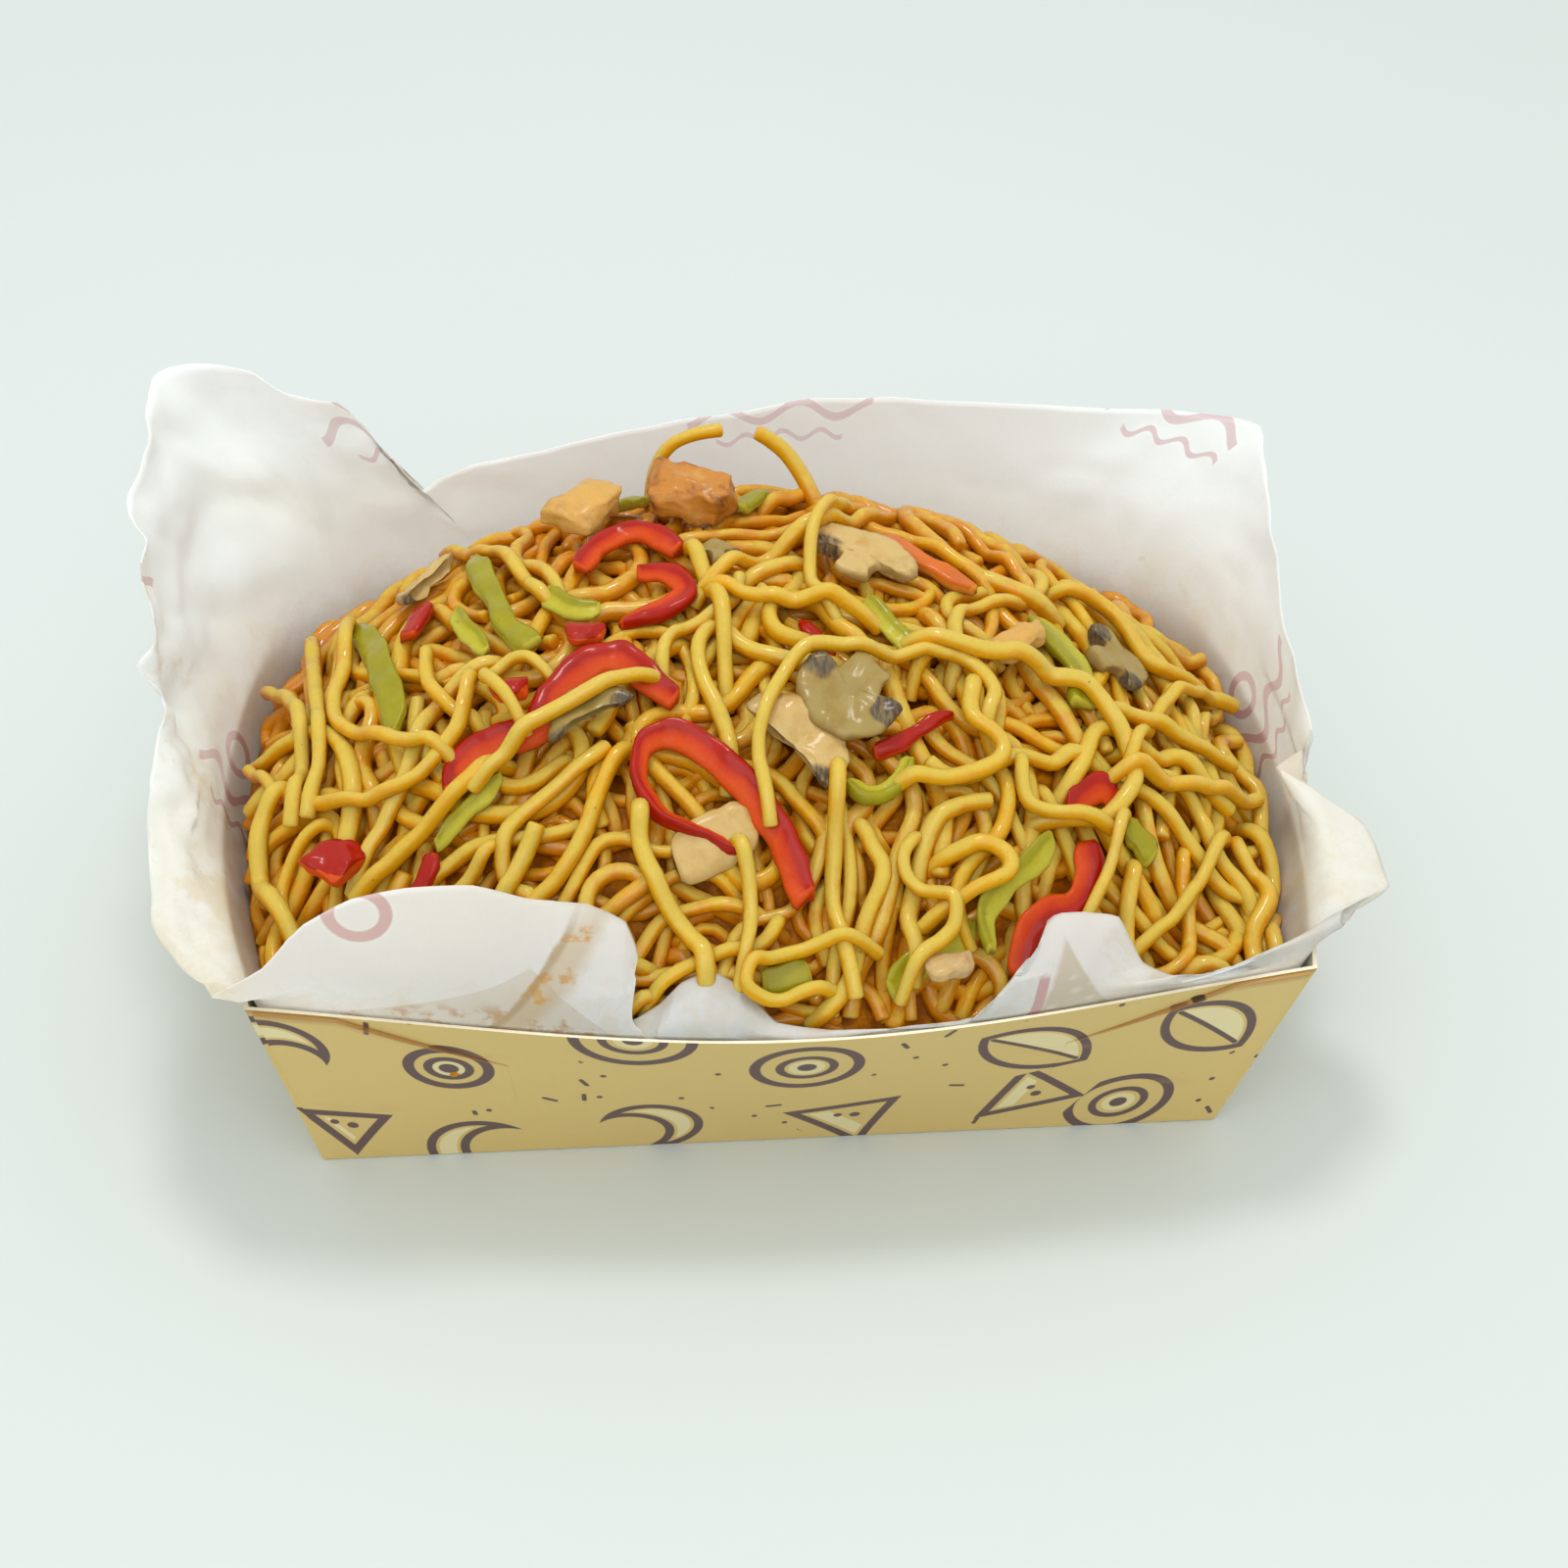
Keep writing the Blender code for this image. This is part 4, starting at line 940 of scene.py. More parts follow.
class HeapField:
    """Heights of what is laid so far, on a fine square grid over the plan."""

    cell = 0.5

    def __init__(self, depth):
        self.low = np.array((-100.0, -72.0))
        xs = np.arange(-100.0, 100.1, self.cell)
        ys = np.arange(-72.0, 72.1, self.cell)
        grid_x, grid_y = np.meshgrid(xs, ys, indexing="ij")
        self.top = noodle_top(grid_x, grid_y)
        self.z = self.top - depth
        self.blocked = np.zeros(self.z.shape, dtype=bool)
        self.room = self.distance_to_liner(grid_x, grid_y)

    def distance_to_liner(self, grid_x, grid_y):
        """Distance of plan points to the liner's wall, below zero outside it."""
        turns = np.arange(0.0, 4.0, 1 / 14)
        outline = np.array([liner_wall(int(turn), turn - int(turn), 40.0, 0.3)[:2] for turn in turns])
        after = np.roll(outline, -1, axis=0)
        room = np.full(grid_x.shape, 1e9)
        for start, stop in zip(outline, after):
            along = (stop - start) / np.linalg.norm(stop - start)
            room = np.minimum(room, along[0] * (grid_y - start[1]) - along[1] * (grid_x - start[0]))
        return room

    def index(self, x, y):
        i = np.clip(np.rint((x - self.low[0]) / self.cell).astype(int), 0, self.z.shape[0] - 1)
        j = np.clip(np.rint((y - self.low[1]) / self.cell).astype(int), 0, self.z.shape[1] - 1)
        return i, j

    def room_at(self, x, y):
        i = min(max(int((x - self.low[0]) / self.cell), 0), self.z.shape[0] - 1)
        j = min(max(int((y - self.low[1]) / self.cell), 0), self.z.shape[1] - 1)
        return self.room[i, j]

    def window(self, x, y, radius):
        """Grid cells round each point and their squared plan distances from it."""
        reach = int(math.ceil(radius / self.cell))
        shifts = np.arange(-reach, reach + 1)
        i = np.rint((x - self.low[0]) / self.cell).astype(int)[:, None, None] + shifts[None, :, None]
        j = np.rint((y - self.low[1]) / self.cell).astype(int)[:, None, None] + shifts[None, None, :]
        i = np.clip(i, 0, self.z.shape[0] - 1)
        j = np.clip(j, 0, self.z.shape[1] - 1)
        flat = (self.low[0] + i * self.cell - x[:, None, None]) ** 2 + (
            self.low[1] + j * self.cell - y[:, None, None]) ** 2
        i, j = np.broadcast_arrays(i, j)
        return i, j, flat

    def rest(self, x, y, radius):
        """Centre heights of balls that lie on what is below them."""
        i, j, flat = self.window(x, y, radius)
        cap = np.sqrt(np.maximum(radius ** 2 - flat, 0.0))
        heights = np.where(flat < radius ** 2, self.z[i, j] + cap, -1e9)
        return heights.max(axis=(1, 2))

    def lay_balls(self, x, y, z, radius):
        """Raises the field to the tops of balls."""
        i, j, flat = self.window(x, y, radius)
        tops = z[:, None, None] + np.sqrt(np.maximum(radius ** 2 - flat, 0.0))
        tops = np.where(flat < radius ** 2, tops, -1e9)
        np.maximum.at(self.z, (i.ravel(), j.ravel()), tops.ravel())

    def lay_points(self, points, spread, block):
        """Raises the field under a cloud of surface points of a topping."""
        x, y, z = points[:, 0], points[:, 1], points[:, 2]
        i, j, flat = self.window(x, y, spread)
        tops = np.where(flat < spread ** 2, np.broadcast_to(z[:, None, None], flat.shape), -1e9)
        np.maximum.at(self.z, (i.ravel(), j.ravel()), tops.ravel())
        if block:
            i, j, flat = self.window(x, y, spread + 0.6)
            near = flat < (spread + 0.4) ** 2
            self.blocked[i[near], j[near]] = True


# Noodles

# Plan points of the noodles that the eye picks out, in millimetres
SHOWN_NOODLES = [
    [(-3.5, -33), (-4, -28), (-2, -22.5), (1, -16.5), (5, -12.5), (9.5, -11.5), (14.5, -11.5),
     (19.5, -10.5), (25, -8.8), (29, -9), (33, -9.5), (35, -12), (37, -14.5), (36, -17.5)],
    [(27, -7), (32, -8.5), (37.5, -9), (44.5, -8.5), (49.5, -9), (54.5, -10.5), (57.5, -14), (59.5, -17.5),
     (60.5, -22.5), (60, -26), (57.5, -29), (54, -32), (49.5, -33.5), (44.5, -33.5)],
    [(33, -15.5), (32, -20.5), (34.5, -22.8), (37, -25.5), (36.5, -27.5), (33, -29.5), (27, -31),
     (22.5, -31)],
    [(40, -27), (40, -32), (43, -33.7), (46.5, -34.7), (50, -34.7)],
    [(28.5, -40.5), (33, -40.3), (35.5, -42.5), (36, -45), (33.5, -47), (27, -48.5)],
    [(20.5, -39), (18.5, -42.5), (20.5, -45.5), (23.5, -47.5), (26, -49.5), (26, -52.5), (22, -55.5),
     (17, -60)],
    [(-7.5, -42), (-6.5, -46), (-6.5, -49.5), (-7, -52.5), (-8.5, -56.5), (-9.5, -59.5)],
    [(8.5, -33), (7.5, -41.5), (7, -46.5), (8, -52), (9, -57)],
    [(8, -53.5), (2.5, -53.7), (-2.5, -55), (-7.5, -57.5), (-7.2, -59.8), (-2, -60.2), (3, -59)],
    [(-23.5, -36), (-23.5, -40), (-21.5, -44.5), (-19, -48), (-16.5, -50.5), (-14.5, -53.5), (-14, -57)],
    [(-88, -3), (-82.5, -12.5), (-75.5, -19.5), (-69.5, -23), (-63, -24), (-59, -22.5), (-55, -20),
     (-52, -16), (-50.5, -8)],
    [(-72.5, 21.5), (-72.7, 9.5), (-74, 2.5), (-73, -4.5), (-69, -10), (-63, -15.5), (-57, -19)],
    [(-80, 30), (-78, 11), (-76.5, -2), (-76, -10.5), (-77, -17)],
    [(-86, 18), (-81.8, 8), (-79.8, -1), (-79.3, -9), (-80, -16)],
    [(-64, -33.5), (-58.5, -31), (-53.5, -28.5), (-48, -24.5)],
    [(-44.5, -17.5), (-47.7, -12.5), (-46, -7.5), (-42, -6), (-38.5, -9)],
    [(-44.5, -25), (-38.5, -22), (-31, -18.5), (-22.5, -14.5)],
    [(-11.5, 14.5), (-9.5, 7), (-8, 0), (-8, -9)],
    [(-7.5, 9.5), (-3, 13), (2, 16), (9, 19.5), (17, 25.5), (24, 33)],
    [(14, 25), (10, 18.5), (8.5, 14.5), (8, 6.5), (10, 2)],
    [(-7, 5), (-3, 2.5), (3, 1.3), (9.5, 1.2), (14, 0)],
    [(55.5, 17), (62, 16.5), (66.5, 13), (69.5, 8), (73.5, 7), (80, 9.5), (86, 11)],
    [(61, -23.3), (69.5, -21.5), (77.5, -19), (86, -15)],
    [(61.5, -19), (66.5, -9.5), (72.5, -0.5), (78.5, 5)],
    [(58, -48), (66, -42), (71.5, -35.5), (76, -28.5)],
    [(49.5, -47), (53.5, -41), (56.5, -34)],
    [(-83.5, -14), (-86.3, -18.5), (-85.7, -27), (-81.5, -35.5)],
]

# Loose ends that stand up from the crest, as points in space
LOOSE_ENDS = [
    [(-17, 37, 66), (-17.5, 42, 70), (-16.8, 45.5, 76), (-14.5, 46.5, 81), (-10, 47, 83.5),
     (-4.8, 47.5, 84.2)],
    [(2, 46, 84.5), (6.5, 45, 81.5), (10, 42, 77.5), (13, 37, 73), (16, 31, 70)],
]


def settle_path(plan, field, radius, sink, passes=10):
    """Gives a plan path its heights: it lies on what is below and bridges narrow gaps."""
    contact = field.rest(plan[:, 0], plan[:, 1], radius) - sink
    z = contact.copy()
    for step in range(passes):
        soft = z.copy()
        soft[1:-1] = 0.5 * z[1:-1] + 0.25 * (z[:-2] + z[2:])
        z = np.maximum(contact, soft)
    z[1:-1] = 0.5 * z[1:-1] + 0.25 * (z[:-2] + z[2:])
    return np.column_stack((plan[:, :2], z))


def dip_ends(path, first, last, dips):
    """Cuts a path to a stretch and lets its ends sink between the noodles below."""
    reach = 7
    start, stop = max(0, first - reach * dips[0]), min(len(path), last + reach * dips[1])
    cut = path[start:stop].copy()
    inner_first, inner_last = first - start, last - 1 - start
    steps = np.arange(len(cut))
    before = np.maximum(inner_first + 2 - steps, 0) * dips[0]
    after = np.maximum(steps - inner_last + 2, 0) * dips[1]
    sunk = 0.085 * (before ** 2 + after ** 2)
    rest = np.interp(steps, [inner_first, inner_last], [path[first, 2], path[last - 1, 2]])
    outside = (steps < inner_first) | (steps > inner_last)
    cut[outside, 2] = rest[outside]
    cut[:, 2] -= sunk
    return cut


def longest_run(good):
    """First and last index of the longest unbroken stretch."""
    edges = np.flatnonzero(np.diff(np.concatenate(([0], good.astype(int), [0]))))
    if not len(edges):
        return 0, 0
    lengths = edges[1::2] - edges[::2]
    best = int(np.argmax(lengths))
    return edges[2 * best], edges[2 * best + 1]


# A noodle starts to turn away from the liner at the first distance and stops at the second
TURN_AWAY = 9.0
KEEP_OFF = 1.7

# Steps between changes of bend, pull back to the usual lie, and the sharpest turn of one step
BEND_STEPS = 8
LIE_PULL = 0.022
SHARPEST_TURN = 0.20


def wander(draw, field, start, heading, bend, steps, stray, liveliness):
    """Plan path of 1 mm steps that follows the usual lie, bends smoothly and keeps off the liner."""
    x, y = start
    path = [(x, y)]
    target = bend
    for step in range(steps):
        if step % BEND_STEPS == 0:
            target = draw.gauss(0.0, liveliness)
            usual = lie_at(x, y) + stray
        bend += (target - bend) * 0.2
        turn = bend + LIE_PULL * math.sin(2 * (usual - heading))
        room = field.room_at(x, y)
        if room < TURN_AWAY:
            inward = math.atan2(-y * 1.7, -x)
            swing = (inward - heading + math.pi) % (2 * math.pi) - math.pi
            turn += 0.10 * max(-1.0, min(1.0, swing)) * (TURN_AWAY - room) / 7.0
        heading += max(-SHARPEST_TURN, min(SHARPEST_TURN, turn))
        x += math.cos(heading)
        y += math.sin(heading)
        if field.room_at(x, y) < KEEP_OFF:
            break
        path.append((x, y))
    return path


def tube_mesh(paths, sides, step):
    """Points, faces and kept values of many noodles, slightly oval, with blunt ends."""
    points, faces, kept = [], [], []
    start = 0
    turn = np.linspace(0.0, 2 * math.pi, sides, endpoint=False)
    for path, radius, tint, shine, seed in paths:
        path = smooth_path(path[::3] if len(path) > 9 else path, step)
        steps = np.arange(len(path)) * step
        radii = radius * (1 + 0.045 * np.sin(steps / 6.0 + seed) + 0.03 * np.sin(steps / 2.3 + 2 * seed))
        tangent = np.gradient(path, axis=0)
        tangent /= np.linalg.norm(tangent, axis=1, keepdims=True)
        start_cap = [path[0] - tangent[0] * radius * reach for reach in (0.30, 0.20)]
        end_cap = [path[-1] + tangent[-1] * radius * reach for reach in (0.20, 0.30)]
        path = np.vstack((start_cap, path, end_cap))
        radii = np.concatenate(([radius * 0.62, radius * 0.88], radii, [radius * 0.88, radius * 0.62]))
        tangent = np.vstack((tangent[0], tangent[0], tangent, tangent[-1], tangent[-1]))
        across = np.cross(tangent, (0.0, 0.0, 1.0))
        across /= np.linalg.norm(across, axis=1, keepdims=True) + 1e-9
        upward = np.cross(across, tangent)
        twist = seed + np.arange(len(path)) * 0.03 * math.sin(seed * 5)
        oval = 1 + 0.07 * np.cos(2 * (turn - twist[:, None])) + 0.02 * np.cos(5 * turn + seed)
        ring = across[:, None, :] * np.cos(turn)[:, None] + upward[:, None, :] * np.sin(turn)[:, None]
        body = path[:, None, :] + ring * (radii[:, None] * oval)[:, :, None]
        count = len(path)
        index = start + np.arange(count * sides).reshape(count, sides)
        after = np.roll(index, -1, axis=1)
        quads = np.stack((index[:-1], after[:-1], after[1:], index[1:]), axis=-1).reshape(-1, 4)
        points.append(body.reshape(-1, 3))
        faces.extend(quads.tolist())
        faces.append(index[0][::-1].tolist())
        faces.append(index[-1].tolist())
        size = count * sides
        # Depth under the heap's top, which the material turns amber, partly for sauce gathering lower down
        # and partly as painted shade
        deep = np.repeat(noodle_top(path[:, 0], path[:, 1]) - path[:, 2], sides)
        # Share towards each noodle's underside, which the material uses for painted shade
        below = np.tile(0.5 - 0.5 * np.sin(turn), count)
        kept.append(np.stack((np.full(size, tint), np.full(size, shine), deep, below)))
        start += size
    return np.vstack(points), faces, dict(zip(("tone", "wet", "deep", "below"), np.concatenate(kept, axis=1)))


def noodle_material(settings):
    """Yellow noodle, golden where oily, amber where sauce collects, herb specks, painted shade on sides and
    underside.
    """
    finish = Finish("fried_noodle", ior=1.38, specular_ior_level=0.12, subsurface_weight=0.45,
                    subsurface_scale=0.0022, subsurface_radius=(1.0, 0.42, 0.06), coat_roughness=0.12)
    finish.shader.subsurface_method = "BURLEY"
    at = finish.place()
    tone, wet, deep, below = (finish.kept(name) for name in ("tone", "wet", "deep", "below"))
    broad = finish.noise(at, 7.0, 3.0)
    fine = finish.noise(at, 0.9, 3.0, 0.6)
    streak = finish.noise(at, 2.6, 3.0)
    # Painted shade: the sides and underside of each noodle turn golden and, with the amber share, amber
    side = below.between(0.02, 0.50)
    oily = tone * 0.50 + (broad - 0.5) * 1.2 + (streak - 0.5) * 0.7 + side * 0.95 + 0.03
    base = finish.mix(oily.between(0.10, 0.98), settings.pale, settings.golden)
    x, y, z = finish.parts(at)
    # Browner towards the back of the heap, and a little at its left and front
    browner = x.under(-90.0, -66.0) * 0.22 + y.under(-60.0, -40.0) * 0.10 + y.between(0.0, 36.0) * 0.60
    patchy = (streak - 0.5) * 1.2 + (broad - 0.5) * 0.6
    # Amber share: sauce, with painted shade added from each noodle's sides and, together with sauce, from its
    # depth in the heap
    sauce = (wet * 0.40 + browner + patchy + deep * 0.11 + side * 0.55).between(0.47, 1.42)
    base = finish.mix(sauce * 0.95, base, settings.amber)
    specks = finish.cells(at, 2.6).under(0.05, 0.10) * finish.noise(at, 12.0, 1.0).between(0.56, 0.66)
    base = finish.mix(specks * 0.6, base, (0.12, 0.045, 0.012))
    base = finish.tint(base, 0.92 + fine * 0.16)
    moist = (wet * 0.55 + (streak - 0.5) * 2.0 + (broad - 0.5) + 0.25).between(0.15, 0.95)
    return finish.surface(base=base, roughness=0.40 - moist * 0.10 + fine * 0.16, coat=0.04 + 0.80 * moist,
                          normal=finish.bump(fine + streak * 1.4, 0.12, 0.6))


def core_material():
    """Dark sauce and strands that show in the gaps, coloured darker than the noodles as painted shade."""
    finish = Finish("sauce_and_shade_core", ior=1.42, specular_ior_level=0.1)
    at = finish.place()
    strands = finish.noise(at, 3.0, 3.0)
    # Dark brown to amber: sauce, darkened further as painted shade of the deep gaps
    base = finish.mix(strands.between(0.35, 0.7), (0.24, 0.065, 0.001), (0.52, 0.19, 0.003))
    return finish.surface(base=base, roughness=0.4, normal=finish.bump(strands, 1.2, 0.8))


class Heap:
    """The noodles while they are laid: what has settled so far and the run of random draws."""

    def start(self, settings):
        """Begins an empty heap."""
        self.draw = random.Random(settings.seed)
        self.radius = settings.diameter / 2
        self.field = HeapField(settings.depth)
        self.material = noodle_material(settings)

    def style(self):
        """Radius, tone, wetness and seed of one noodle."""
        return (self.radius * self.draw.uniform(0.82, 1.12), self.draw.random(), self.draw.random() ** 1.5,
                self.draw.uniform(0.0, 6.28))

    def fill(self, ceiling, wanted, shortest, sink, choices):
        """Adds noodles where the heap is lowest, the longest of a few tries each time."""
        laid = []
        for number in range(wanted):
            best = None
            for choice in range(choices):
                found = self.propose(ceiling, sink)
                if found and (best is None or found[0] > best[0]):
                    best = found
            if best is None:
                continue
            score, path, first, last = best
            if last - first < shortest:
                continue
            dips = [int(self.draw.random() < 0.88), int(self.draw.random() < 0.88)]
            cut = dip_ends(path, first, last, dips)
            self.field.lay_balls(cut[:, 0], cut[:, 1], cut[:, 2], self.radius)
            laid.append((cut, *self.style()))
        return laid

    def propose(self, ceiling, sink):
        """One noodle from a low place, with its score, or nothing where it doesn't fit."""
        draw, field = self.draw, self.field
        start = self.low_spot()
        lively = draw.choice((0.07, 0.11, 0.16, 0.22))
        stray = draw.gauss(0.0, 0.75) if draw.random() < 0.5 else draw.uniform(-1.6, 1.6)
        heading = lie_at(*start) + stray
        bend = draw.gauss(0.0, lively)
        ahead = wander(draw, field, start, heading, bend, draw.randint(25, 75), stray, lively)
        behind = wander(draw, field, start, heading + math.pi, -bend, draw.randint(20, 60), stray, lively)
        plan = np.asarray(behind[:0:-1] + ahead)
        if len(plan) < 20:
            return None
        path = settle_path(plan, field, self.radius, sink)
        top = noodle_top(path[:, 0], path[:, 1])
        i, j = field.index(path[:, 0], path[:, 1])
        good = (path[:, 2] + self.radius <= top + ceiling) & ~field.blocked[i, j]
        first, last = longest_run(good)
        if last - first < 7:
            return None
        lack = float(np.mean((top - path[:, 2])[first:last]))
        return min(last - first, 70) + 12.0 * lack, path, first, last

    def low_spot(self):
        """Place where most is lacking, of a few at random."""
        field = self.field
        best, place = -1e9, (0.0, 0.0)
        for trial in range(30):
            x = self.draw.uniform(-91.0, 91.0)
            y = self.draw.uniform(-62.0, 62.0)
            i = int((x - field.low[0]) / field.cell)
            j = int((y - field.low[1]) / field.cell)
            lack = field.top[i, j] - field.z[i, j]
            if lack > best and field.room[i, j] > 2.5 and not field.blocked[i, j]:
                best, place = lack, (x, y)
        return place

    def lay_shown(self):
        """Lays the noodles that the eye picks out and the loose ends."""
        field = self.field
        laid = []
        for knots in SHOWN_NOODLES:
            plan = smooth_path(knots, 1.0)
            ahead = np.array([plan[-1, :2] + (plan[-1, :2] - plan[-2, :2]) * step for step in range(1, 7)])
            behind = np.array([plan[0, :2] + (plan[0, :2] - plan[1, :2]) * step for step in range(6, 0, -1)])
            plan = np.vstack((behind, plan[:, :2], ahead))
            free = np.array([field.room_at(x, y) > KEEP_OFF for x, y in plan])
            first, last = longest_run(free)
            path = settle_path(plan[first:last], field, self.radius, 0.3, 14)
            path = dip_ends(path, 6 if first == 0 else 0, len(path) - (6 if last == len(plan) else 0), [1, 1])
            field.lay_balls(path[:, 0], path[:, 1], path[:, 2], self.radius)
            radius, tint, shine, seed = self.style()
            laid.append((path, radius * 0.94, tint * 0.7, shine * 0.7, seed))
        for knots in LOOSE_ENDS:
            laid.append((smooth_path(knots, 1.0), self.radius * 0.95, 0.7, 0.5, 1.0 + len(knots)))
        return laid

    def build(self, name, paths, sides, step):
        points, faces, kept = tube_mesh(paths, sides, step)
        piece = add_piece(name, points, faces, [self.material], ["noodles"])
        for key, values in kept.items():
            keep_values(piece.data, key, values)


# The operators of the heap go on one after another, from the core to the upper noodles
HEAP = Heap()

# Layers of noodles: how far they may stand above the usual top, how many are tried, the shortest that
# stays, how deep they press into those below, and tries for each
DEEP_LAYER = (-4.1, 420, 7, 1.5, 6)
UNDER_LAYER = (-1.6, 260, 18, 0.9, 5)
UPPER_LAYER = (0.8, 300, 22, 0.55, 6)
TOP_LAYER = (2.0, 120, 26, 0.4, 8)


class BOX_OT_core(bpy.types.Operator):
    """Starts the heap with the sauced core, coloured dark as painted shade, that shows in the gaps between
    the noodles
    """
    bl_idname = "noodlebox.core"
    bl_label = "Heap core"

    def execute(self, context):
        settings = context.scene.noodlebox_heap
        HEAP.start(settings)
        rings, sides = 26, 96
        around = [(int(4 * step / sides), 4 * step / sides % 1.0) for step in range(sides)]
        points, faces = [], []
        for ring in range(rings + 1):
            share = ring / rings
            for side, along in around:
                wall = liner_wall(side, along, 40.0, 1.6)
                x, y = PEAK_X + (wall[0] - PEAK_X) * share, PEAK_Y + (wall[1] - PEAK_Y) * share
                top = min(float(noodle_top(x, y)), 60.0 + 20.0 * (1 - share))
                points.append((x, y, top - settings.depth + 0.4))
        for height in (24.0, 10.0, 2.4):
            for side, along in around:
                wall = liner_wall(side, along, height, 1.8)
                points.append((wall[0], wall[1], height))
        for ring in range(rings + 3):
            for step in range(sides):
                after = (step + 1) % sides
                a, b = ring * sides + step, ring * sides + after
                faces.append((a, a + sides, b + sides, b))
        faces.append(tuple(len(points) - sides + step for step in range(sides))[::-1])
        add_piece("heap_core", points, faces, [core_material()], ["noodles"])
        return {"FINISHED"}


class BOX_OT_lower_noodles(bpy.types.Operator):
    """Lays the noodles below the toppings, wherever the heap is lowest"""
    bl_idname = "noodlebox.lower_noodles"
    bl_label = "Lower noodles"

    def execute(self, context):
        deep = HEAP.fill(*DEEP_LAYER)
        under = HEAP.fill(*UNDER_LAYER)
        HEAP.build("noodles_deep", deep, 7, 2.0)
        HEAP.build("noodles_under", under, 8, 1.5)
        return {"FINISHED"}


# Toppings

# Name, kind, plan points, width, thickness, widths of the two ends, side of the skin and whether
# noodles keep off it; side 1 is left of the way the points run, -1 right of it, 0 on top
STRIPS = [
    ("mushroom_under_loop", "mushroom", [(-18, -41.5), (-12, -39), (-5.5, -36.5)], 9.0, 1.8, (0.7, 0.6),
     0, False),
    ("pepper_red_loop", "red", [(-7.5, -41), (-14, -38.5), (-20, -35), (-23, -30.5), (-22.5, -25.5),
                                (-18, -23.5), (-12, -27), (-8, -30.5), (-4, -34.5), (-1, -40), (2.5, -48)],
     5.0, 3.0, (0.30, 1.0, 1.1), 1, True),
    ("pepper_red_wave", "red", [(-53.5, -26.5), (-52, -22), (-46, -20), (-40, -19.5), (-36, -14),
                                (-31, -9.5), (-25.5, -8.5), (-21, -13),
                                (-17, -17.5)], 6.0, 2.6, (0.7, 0.6), 1, True),
    ("pepper_red_arch", "red", [(-31.5, 14), (-28.5, 20), (-23.5, 24), (-18, 22.5), (-14.5, 16.5)],
     4.6, 2.8, (0.6, 0.8), 1, True),
    ("pepper_red_hook", "red", [(-21.5, 12.5), (-16.5, 11), (-13.5, 7), (-17, 3), (-25, 0)],
     4.4, 2.4, (0.8, 0.5), 1, True),
    ("pepper_red_right", "red", [(50.5, -36), (50.5, -40.5), (47.5, -45), (41.5, -48), (38.5, -51),
                                 (37, -55)], 5.4, 2.6, (0.7, 0.9), 1, True),
    ("pepper_red_bow", "red", [(49, -32), (50.5, -28.5), (54.5, -26), (57.5, -27)], 4.2, 2.2, (0.7, 0.7),
     1, True),
    ("pepper_red_curl", "red", [(15.5, -26), (19.5, -24.5), (24, -21.5),
     (29.5, -19)], 2.6, 1.6, (0.8, 0.2), 0, True),
    ("pepper_red_shred", "red", [(5, -0.5), (7.5, -4), (10.5, -8)], 2.4, 1.5, (0.3, 0.6), 0, True),
    ("pepper_red_stub", "red", [(-61, 9), (-59.5, 12.5), (-58.5, 16.5)], 4.6, 2.2, (0.8, 0.8), 0, True),
    ("pepper_red_sliver", "red", [(-60, -38.5), (-58.5, -36.5), (-56.5, -34)], 3.4, 2.0, (0.7, 0.6),
     0, False),
    ("pepper_orange_back", "orange", [(22.5, 22.5), (25.5, 18.5), (30, 15), (37, 9.5)],
     4.4, 2.2, (0.6, 0.5), 0, True),
    ("pepper_green_left", "green", [(-72, 24), (-68.5, 14.5), (-65.5, 2.5), (-63.5, -6), (-63.5, -12.5)],
     4.8, 2.4, (0.7, 0.6), 0, True),
    ("pepper_green_tall", "green", [(-50, 28), (-47, 14), (-44, 3), (-40, -3.5)], 4.4, 2.4, (0.6, 0.9),
     0, True),
    ("pepper_green_low", "green", [(-53, 11), (-50.5, 4), (-47.5, -2)], 3.4, 1.8, (0.6, 0.6), 1, False),
    ("pepper_green_back", "green", [(-37.5, 9), (-33, 4), (-28.5, 3)], 4.0, 2.0, (0.6, 0.6), 1, True),
    ("pepper_green_top", "green", [(-25.5, 40), (-22, 42), (-18, 41)], 4.6, 2.4, (0.8, 0.8), 0, True),
    ("pepper_green_crest", "green", [(-2.5, 32), (0, 36), (3, 40)], 4.2, 2.2, (0.8, 0.8), 0, True),
    ("pepper_green_bar", "green", [(17, 4), (20, -1), (24.5, -7.5)], 4.2, 2.0, (0.6, 0.8), 1, True),
    ("pepper_green_wide", "green", [(47, 6), (51.5, 0.5), (54, -5), (53, -12)], 6.4, 2.2, (0.6, 0.8),
     -1, True),
    ("pepper_green_curl", "green", [(10, -31), (13, -33), (17.5, -32),
     (21.5, -27.5)], 3.2, 2.0, (0.5, 0.7), -1, True),
    ("pepper_green_slant", "green", [(-56.5, -33), (-51, -29.5), (-45, -25.5)], 3.0, 1.8, (0.5, 0.5),
     1, True),
    ("pepper_green_front", "green", [(15.5, -58), (18, -56), (22.5, -53.5), (30, -50)],
     4.2, 2.2, (0.6, 0.6), 1, True),
    ("pepper_green_fork", "green", [(32, -54), (31.5, -50), (35, -46), (39.5, -42.5), (44, -38.5)],
     3.6, 2.0, (0.6, 0.7), 1, True),
    ("pepper_green_end", "green", [(58.5, -31.5), (60.5, -33), (62.5, -35)], 5.0, 2.6, (0.9, 0.9),
     0, False),
    ("pepper_green_sunk", "green", [(-5, -57), (-1.5, -56.5), (2.5, -56)], 4.0, 2.0, (0.8, 0.8), 0, False),
]

